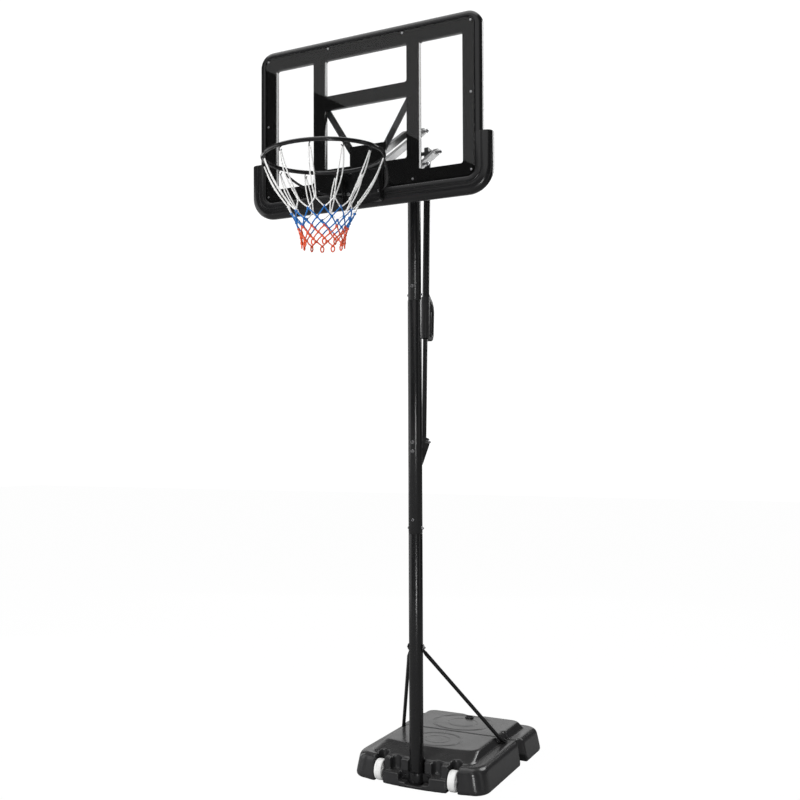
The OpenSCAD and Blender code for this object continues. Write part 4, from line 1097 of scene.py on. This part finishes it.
combine(guard, block((carrier_low.x - 0.001, board_back + 0.0001, frame_low.z - 0.004),
                     (carrier_high.x + 0.001, guard_high.y + 0.02, frame_low.z + 0.06)))
smooth(guard, 32)
finish(guard, frame_plastic)
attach(guard, "board")
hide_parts("bottom_guard")

# ---------- rim ----------
# A steel rod bent to a ring and welded to a folded plate, with two brace rods below, all in gloss
# black. Four bolts clamp the plate through the board to the carrier behind.
gloss_black = coating("gloss powder coat", (0.010, 0.010, 0.0105), (0.007, 0.007, 0.0075), (0.05, 0.05, 0.05),
                      (0.14, 0.22), 300, 0.04, scuff_and_highlight=0.3, dust=0.02, patch=6, Coat_Weight=0.2)
softened("rim_plate", "rim_bracket", gloss_black, "board", 0.0012)
bolts("rim_bolts", "rim_hardware", "board", 0.004, "Y")
ring_low, ring_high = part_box("rim_ring")
ring_rod = (ring_high.z - ring_low.z) / 2
ring_middle = (ring_low + ring_high) / 2
ring_radius = (ring_high.x - ring_low.x) / 2 - ring_rod
deselect()
bpy.ops.mesh.primitive_torus_add(location=ring_middle, major_radius=ring_radius, minor_radius=ring_rod,
                                 major_segments=160, minor_segments=20)
ring = bpy.context.object
ring.name = "rim"
settle(ring)
# The weld beads where the ring meets the tongue
beads = []
for side in (-1, 1):
    start = radians(90 - side * 17)
    for step in range(9):
        turn = start + side * radians(2.0) * step
        bead = ball(ring_middle + Vector((ring_radius * cos(turn) * 1.03, ring_radius * sin(turn) * 1.03, -0.0035)),
                    0.0042)
        beads.append(bead)
join(ring, *beads)
smooth(ring, 60)
finish(ring, gloss_black)
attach(ring, "board")
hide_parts("rim_ring")
for label in ("left", "right"):
    brace = softened("rim_brace_" + label, "brace_rod_" + label, gloss_black, "board", 0,
                     smooth_angle=60)
    modify(brace, "SUBSURF", levels=2, render_levels=2)
    smooth(brace, 60)

# ---------- net hooks ----------
# Twelve pigtail hooks of black wire welded under the ring, each curled once round to keep the
# net's loops from slipping off.


def wire(name, points, radius, tilt_step=0.0, section=None):
    """A smooth wire through the points, round or with a given cross-section."""
    curve = bpy.data.curves.new(name, "CURVE")
    curve.dimensions = "3D"
    curve.resolution_u = 1
    if section:
        curve.bevel_mode = "OBJECT"
        curve.bevel_object = section
    else:
        curve.bevel_depth = radius
        curve.bevel_resolution = 2
    curve.use_fill_caps = True
    curve.twist_mode = "MINIMUM"
    spline = curve.splines.new("POLY")
    spline.points.add(len(points) - 1)
    for place, (point, spot) in enumerate(zip(points, spline.points)):
        spot.co = (*point, 1)
        spot.tilt = tilt_step * place
    piece = bpy.data.objects.new(name, curve)
    bpy.context.collection.objects.link(piece)
    take(piece)
    bpy.ops.object.convert(target="MESH")
    return bpy.context.object


hook_count = 12
hook_turn = 2 * pi / hook_count
hook_curl = 0.0068
hook_places = [radians(15) + hook_turn * step for step in range(hook_count)]
hooks = []
for turn in hook_places:
    outward = Vector((cos(turn), sin(turn), 0))
    beside = Vector((-sin(turn), cos(turn), 0))
    under = ring_middle + outward * ring_radius - Vector((0, 0, ring_rod - 0.001))
    curl_middle = under - Vector((0, 0, 0.0035 + hook_curl))
    points = [under + beside * 0.002]
    for step in range(22):
        angle = pi / 2 - step * 1.55 * pi / 21
        points.append(curl_middle + outward * hook_curl * cos(angle) + Vector((0, 0, hook_curl * sin(angle)))
                      + beside * (0.002 - 0.0045 * step / 21))
    hooks.append(wire("hook", points, 0.0020))
hook_set = join(*hooks)
hook_set.name = "pigtail_hooks"
tidy_mesh(hook_set)
smooth(hook_set, 50)
finish(hook_set, gloss_black)
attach(hook_set, "board")
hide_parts("net_hooks")

# ---------- net ----------
# A knotted net of twisted polyester cord: long white double loops from the hooks, then two rows
# of blue diamonds and two rows of red ones, closed by loops at the hem.
deselect()
bpy.ops.curve.primitive_bezier_circle_add(radius=0.001)
strand_section = bpy.context.object
strand_section.name = "strand_section"
for point in list(strand_section.data.splines):
    strand_section.data.splines.remove(point)
trefoil = strand_section.data.splines.new("POLY")
trefoil.points.add(11)
trefoil.use_cyclic_u = True
cord_radius = 0.0026
for step, point in enumerate(trefoil.points):
    turn = 2 * pi * step / 12
    reach = cord_radius * (1 + 0.16 * cos(3 * turn))
    point.co = (reach * cos(turn), reach * sin(turn), 0, 1)


def strand(name, start, end, bow, sway=0.0, spacing=0.0035):
    """A twisted cord between two knots, bowed outwards in the middle and swayed sideways."""
    length = (end - start).length
    count = max(6, int(length / spacing))
    middle = (start + end) / 2
    outward = Vector((middle.x - ring_middle.x, middle.y - ring_middle.y, 0)).normalized()
    beside = outward.cross(Vector((0, 0, 1)))
    points = []
    for step in range(count + 1):
        part = step / count
        arch = sin(pi * part)
        points.append(start.lerp(end, part) + outward * bow * arch + beside * sway * arch)
    return wire(name, points, cord_radius, 0.55, strand_section)


def knot(place, outward, size=0.0034):
    """A small wrapped knot, one and a half turns of cord."""
    beside = outward.cross(Vector((0, 0, 1)))
    points = []
    for step in range(20):
        angle = step * 3 * pi / 19
        points.append(place + outward * size * cos(angle) + beside * size * sin(angle)
                      + Vector((0, 0, 0.0036 - 0.0072 * step / 19)))
    return wire("knot", points, cord_radius, 0.55, strand_section)


def net_point(turn, radius, drop):
    return ring_middle + Vector((radius * cos(turn), radius * sin(turn), -drop))


net_length = ring_middle.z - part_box("net")[0].z
hem_drop = 0.333
cords = {"white": [], "blue": [], "red": []}
for number in range(hook_count):
    turn = hook_places[number]
    outward = Vector((cos(turn), sin(turn), 0))
    beside = outward.cross(Vector((0, 0, 1)))
    hang = ring_middle + outward * (ring_radius + 0.0005) - Vector((0, 0, ring_rod + 2 * hook_curl + 0.0015))
    join_place = net_point(turn, 0.138, 0.186)
    # Two legs of one long loop, slightly apart and crossing once
    spread = 0.0052 + 0.0022 * sin(2.1 * number)
    sway = 0.004 * sin(1.7 * number + 0.5)
    for leg in (-1, 1):
        cords["white"].append(strand("loop_leg", hang + beside * leg * 0.0025, join_place + beside * leg * 0.0022,
                                     0.010 + 0.003 * sin(3.1 * number + leg), sway + leg * spread))
    cords["white"].append(knot(join_place, outward))
    for side in (-1, 1):
        lower = net_point(turn + side * hook_turn / 2, 0.121, 0.220)
        cords["white"].append(strand("fork", join_place, lower, 0.002, side * 0.002))
    # Rows of diamonds, each cord running from one knot down to its two neighbours
    levels = [(0.5, 0.121, 0.220, "blue"), (0.0, 0.106, 0.252, "blue"), (0.5, 0.094, 0.282, "red"),
              (0.0, 0.087, 0.309, "red"), (0.5, 0.082, hem_drop, None)]
    for (offset, radius, drop, colour), (next_offset, next_radius, next_drop, next_colour) in zip(levels, levels[1:]):
        here = turn + offset * hook_turn
        jitter = 0.003 * sin(5.3 * number + 40 * drop)
        place = net_point(here, radius, drop + jitter)
        cords[colour].append(knot(place, Vector((cos(here), sin(here), 0))))
        for side in (-1, 1):
            there = here + side * hook_turn / 2
            shift = side > 0 if offset == 0.5 else -(side < 0)
            number_there = (number + shift) % hook_count
            next_jitter = 0.003 * sin(5.3 * number_there + 40 * next_drop)
            lower = net_point(there, next_radius, next_drop + next_jitter)
            cords[colour].append(strand("diamond", place, lower, 0.0015,
                                        0.0025 * sin(2.9 * number + side + 30 * drop)))
    # Closing loop at the hem
    here = turn + 0.5 * hook_turn
    jitter = 0.003 * sin(5.3 * number + 40 * hem_drop)
    place = net_point(here, 0.082, hem_drop + jitter)
    outward = Vector((cos(here), sin(here), 0))
    beside = outward.cross(Vector((0, 0, 1)))
    cords["red"].append(knot(place, outward))
    loop_drop = net_length - hem_drop - 0.002 - jitter
    hem = [place + beside * 0.0060 * sin(2 * pi * step / 22) * (1 + 0.3 * sin(number))
           - Vector((0, 0, loop_drop * (1 - cos(2 * pi * step / 22)) / 2)) for step in range(23)]
    cords["red"].append(wire("hem_loop", hem, cord_radius, 0.55, strand_section))
bpy.data.objects.remove(strand_section)


def cord_finish(name, colour, shade):
    """Twisted cord: a fine fibre grain, with a soft sheen."""
    material = coating(name, colour, shade, colour, (0.62, 0.78), 2600, 0.25, scuff_and_highlight=0.1, dust=0.0, patch=40,
                       Sheen_Weight=0.25)
    return material


net_finishes = {"white": cord_finish("white cord", (0.93, 0.93, 0.92), (0.87, 0.87, 0.86)),
                "blue": cord_finish("blue cord", (0.003, 0.20, 0.60), (0.002, 0.11, 0.42)),
                "red": cord_finish("red cord", (0.88, 0.14, 0.04), (0.72, 0.06, 0.02))}
net_parts = []
for colour, strands in cords.items():
    part = join(*strands)
    part.name = colour + "_cords"
    finish(part, net_finishes[colour])
    net_parts.append(part)
net = join(*net_parts)
net.name = "knotted_net"
smooth(net, 70)
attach(net, "board")
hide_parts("net")

deselect()
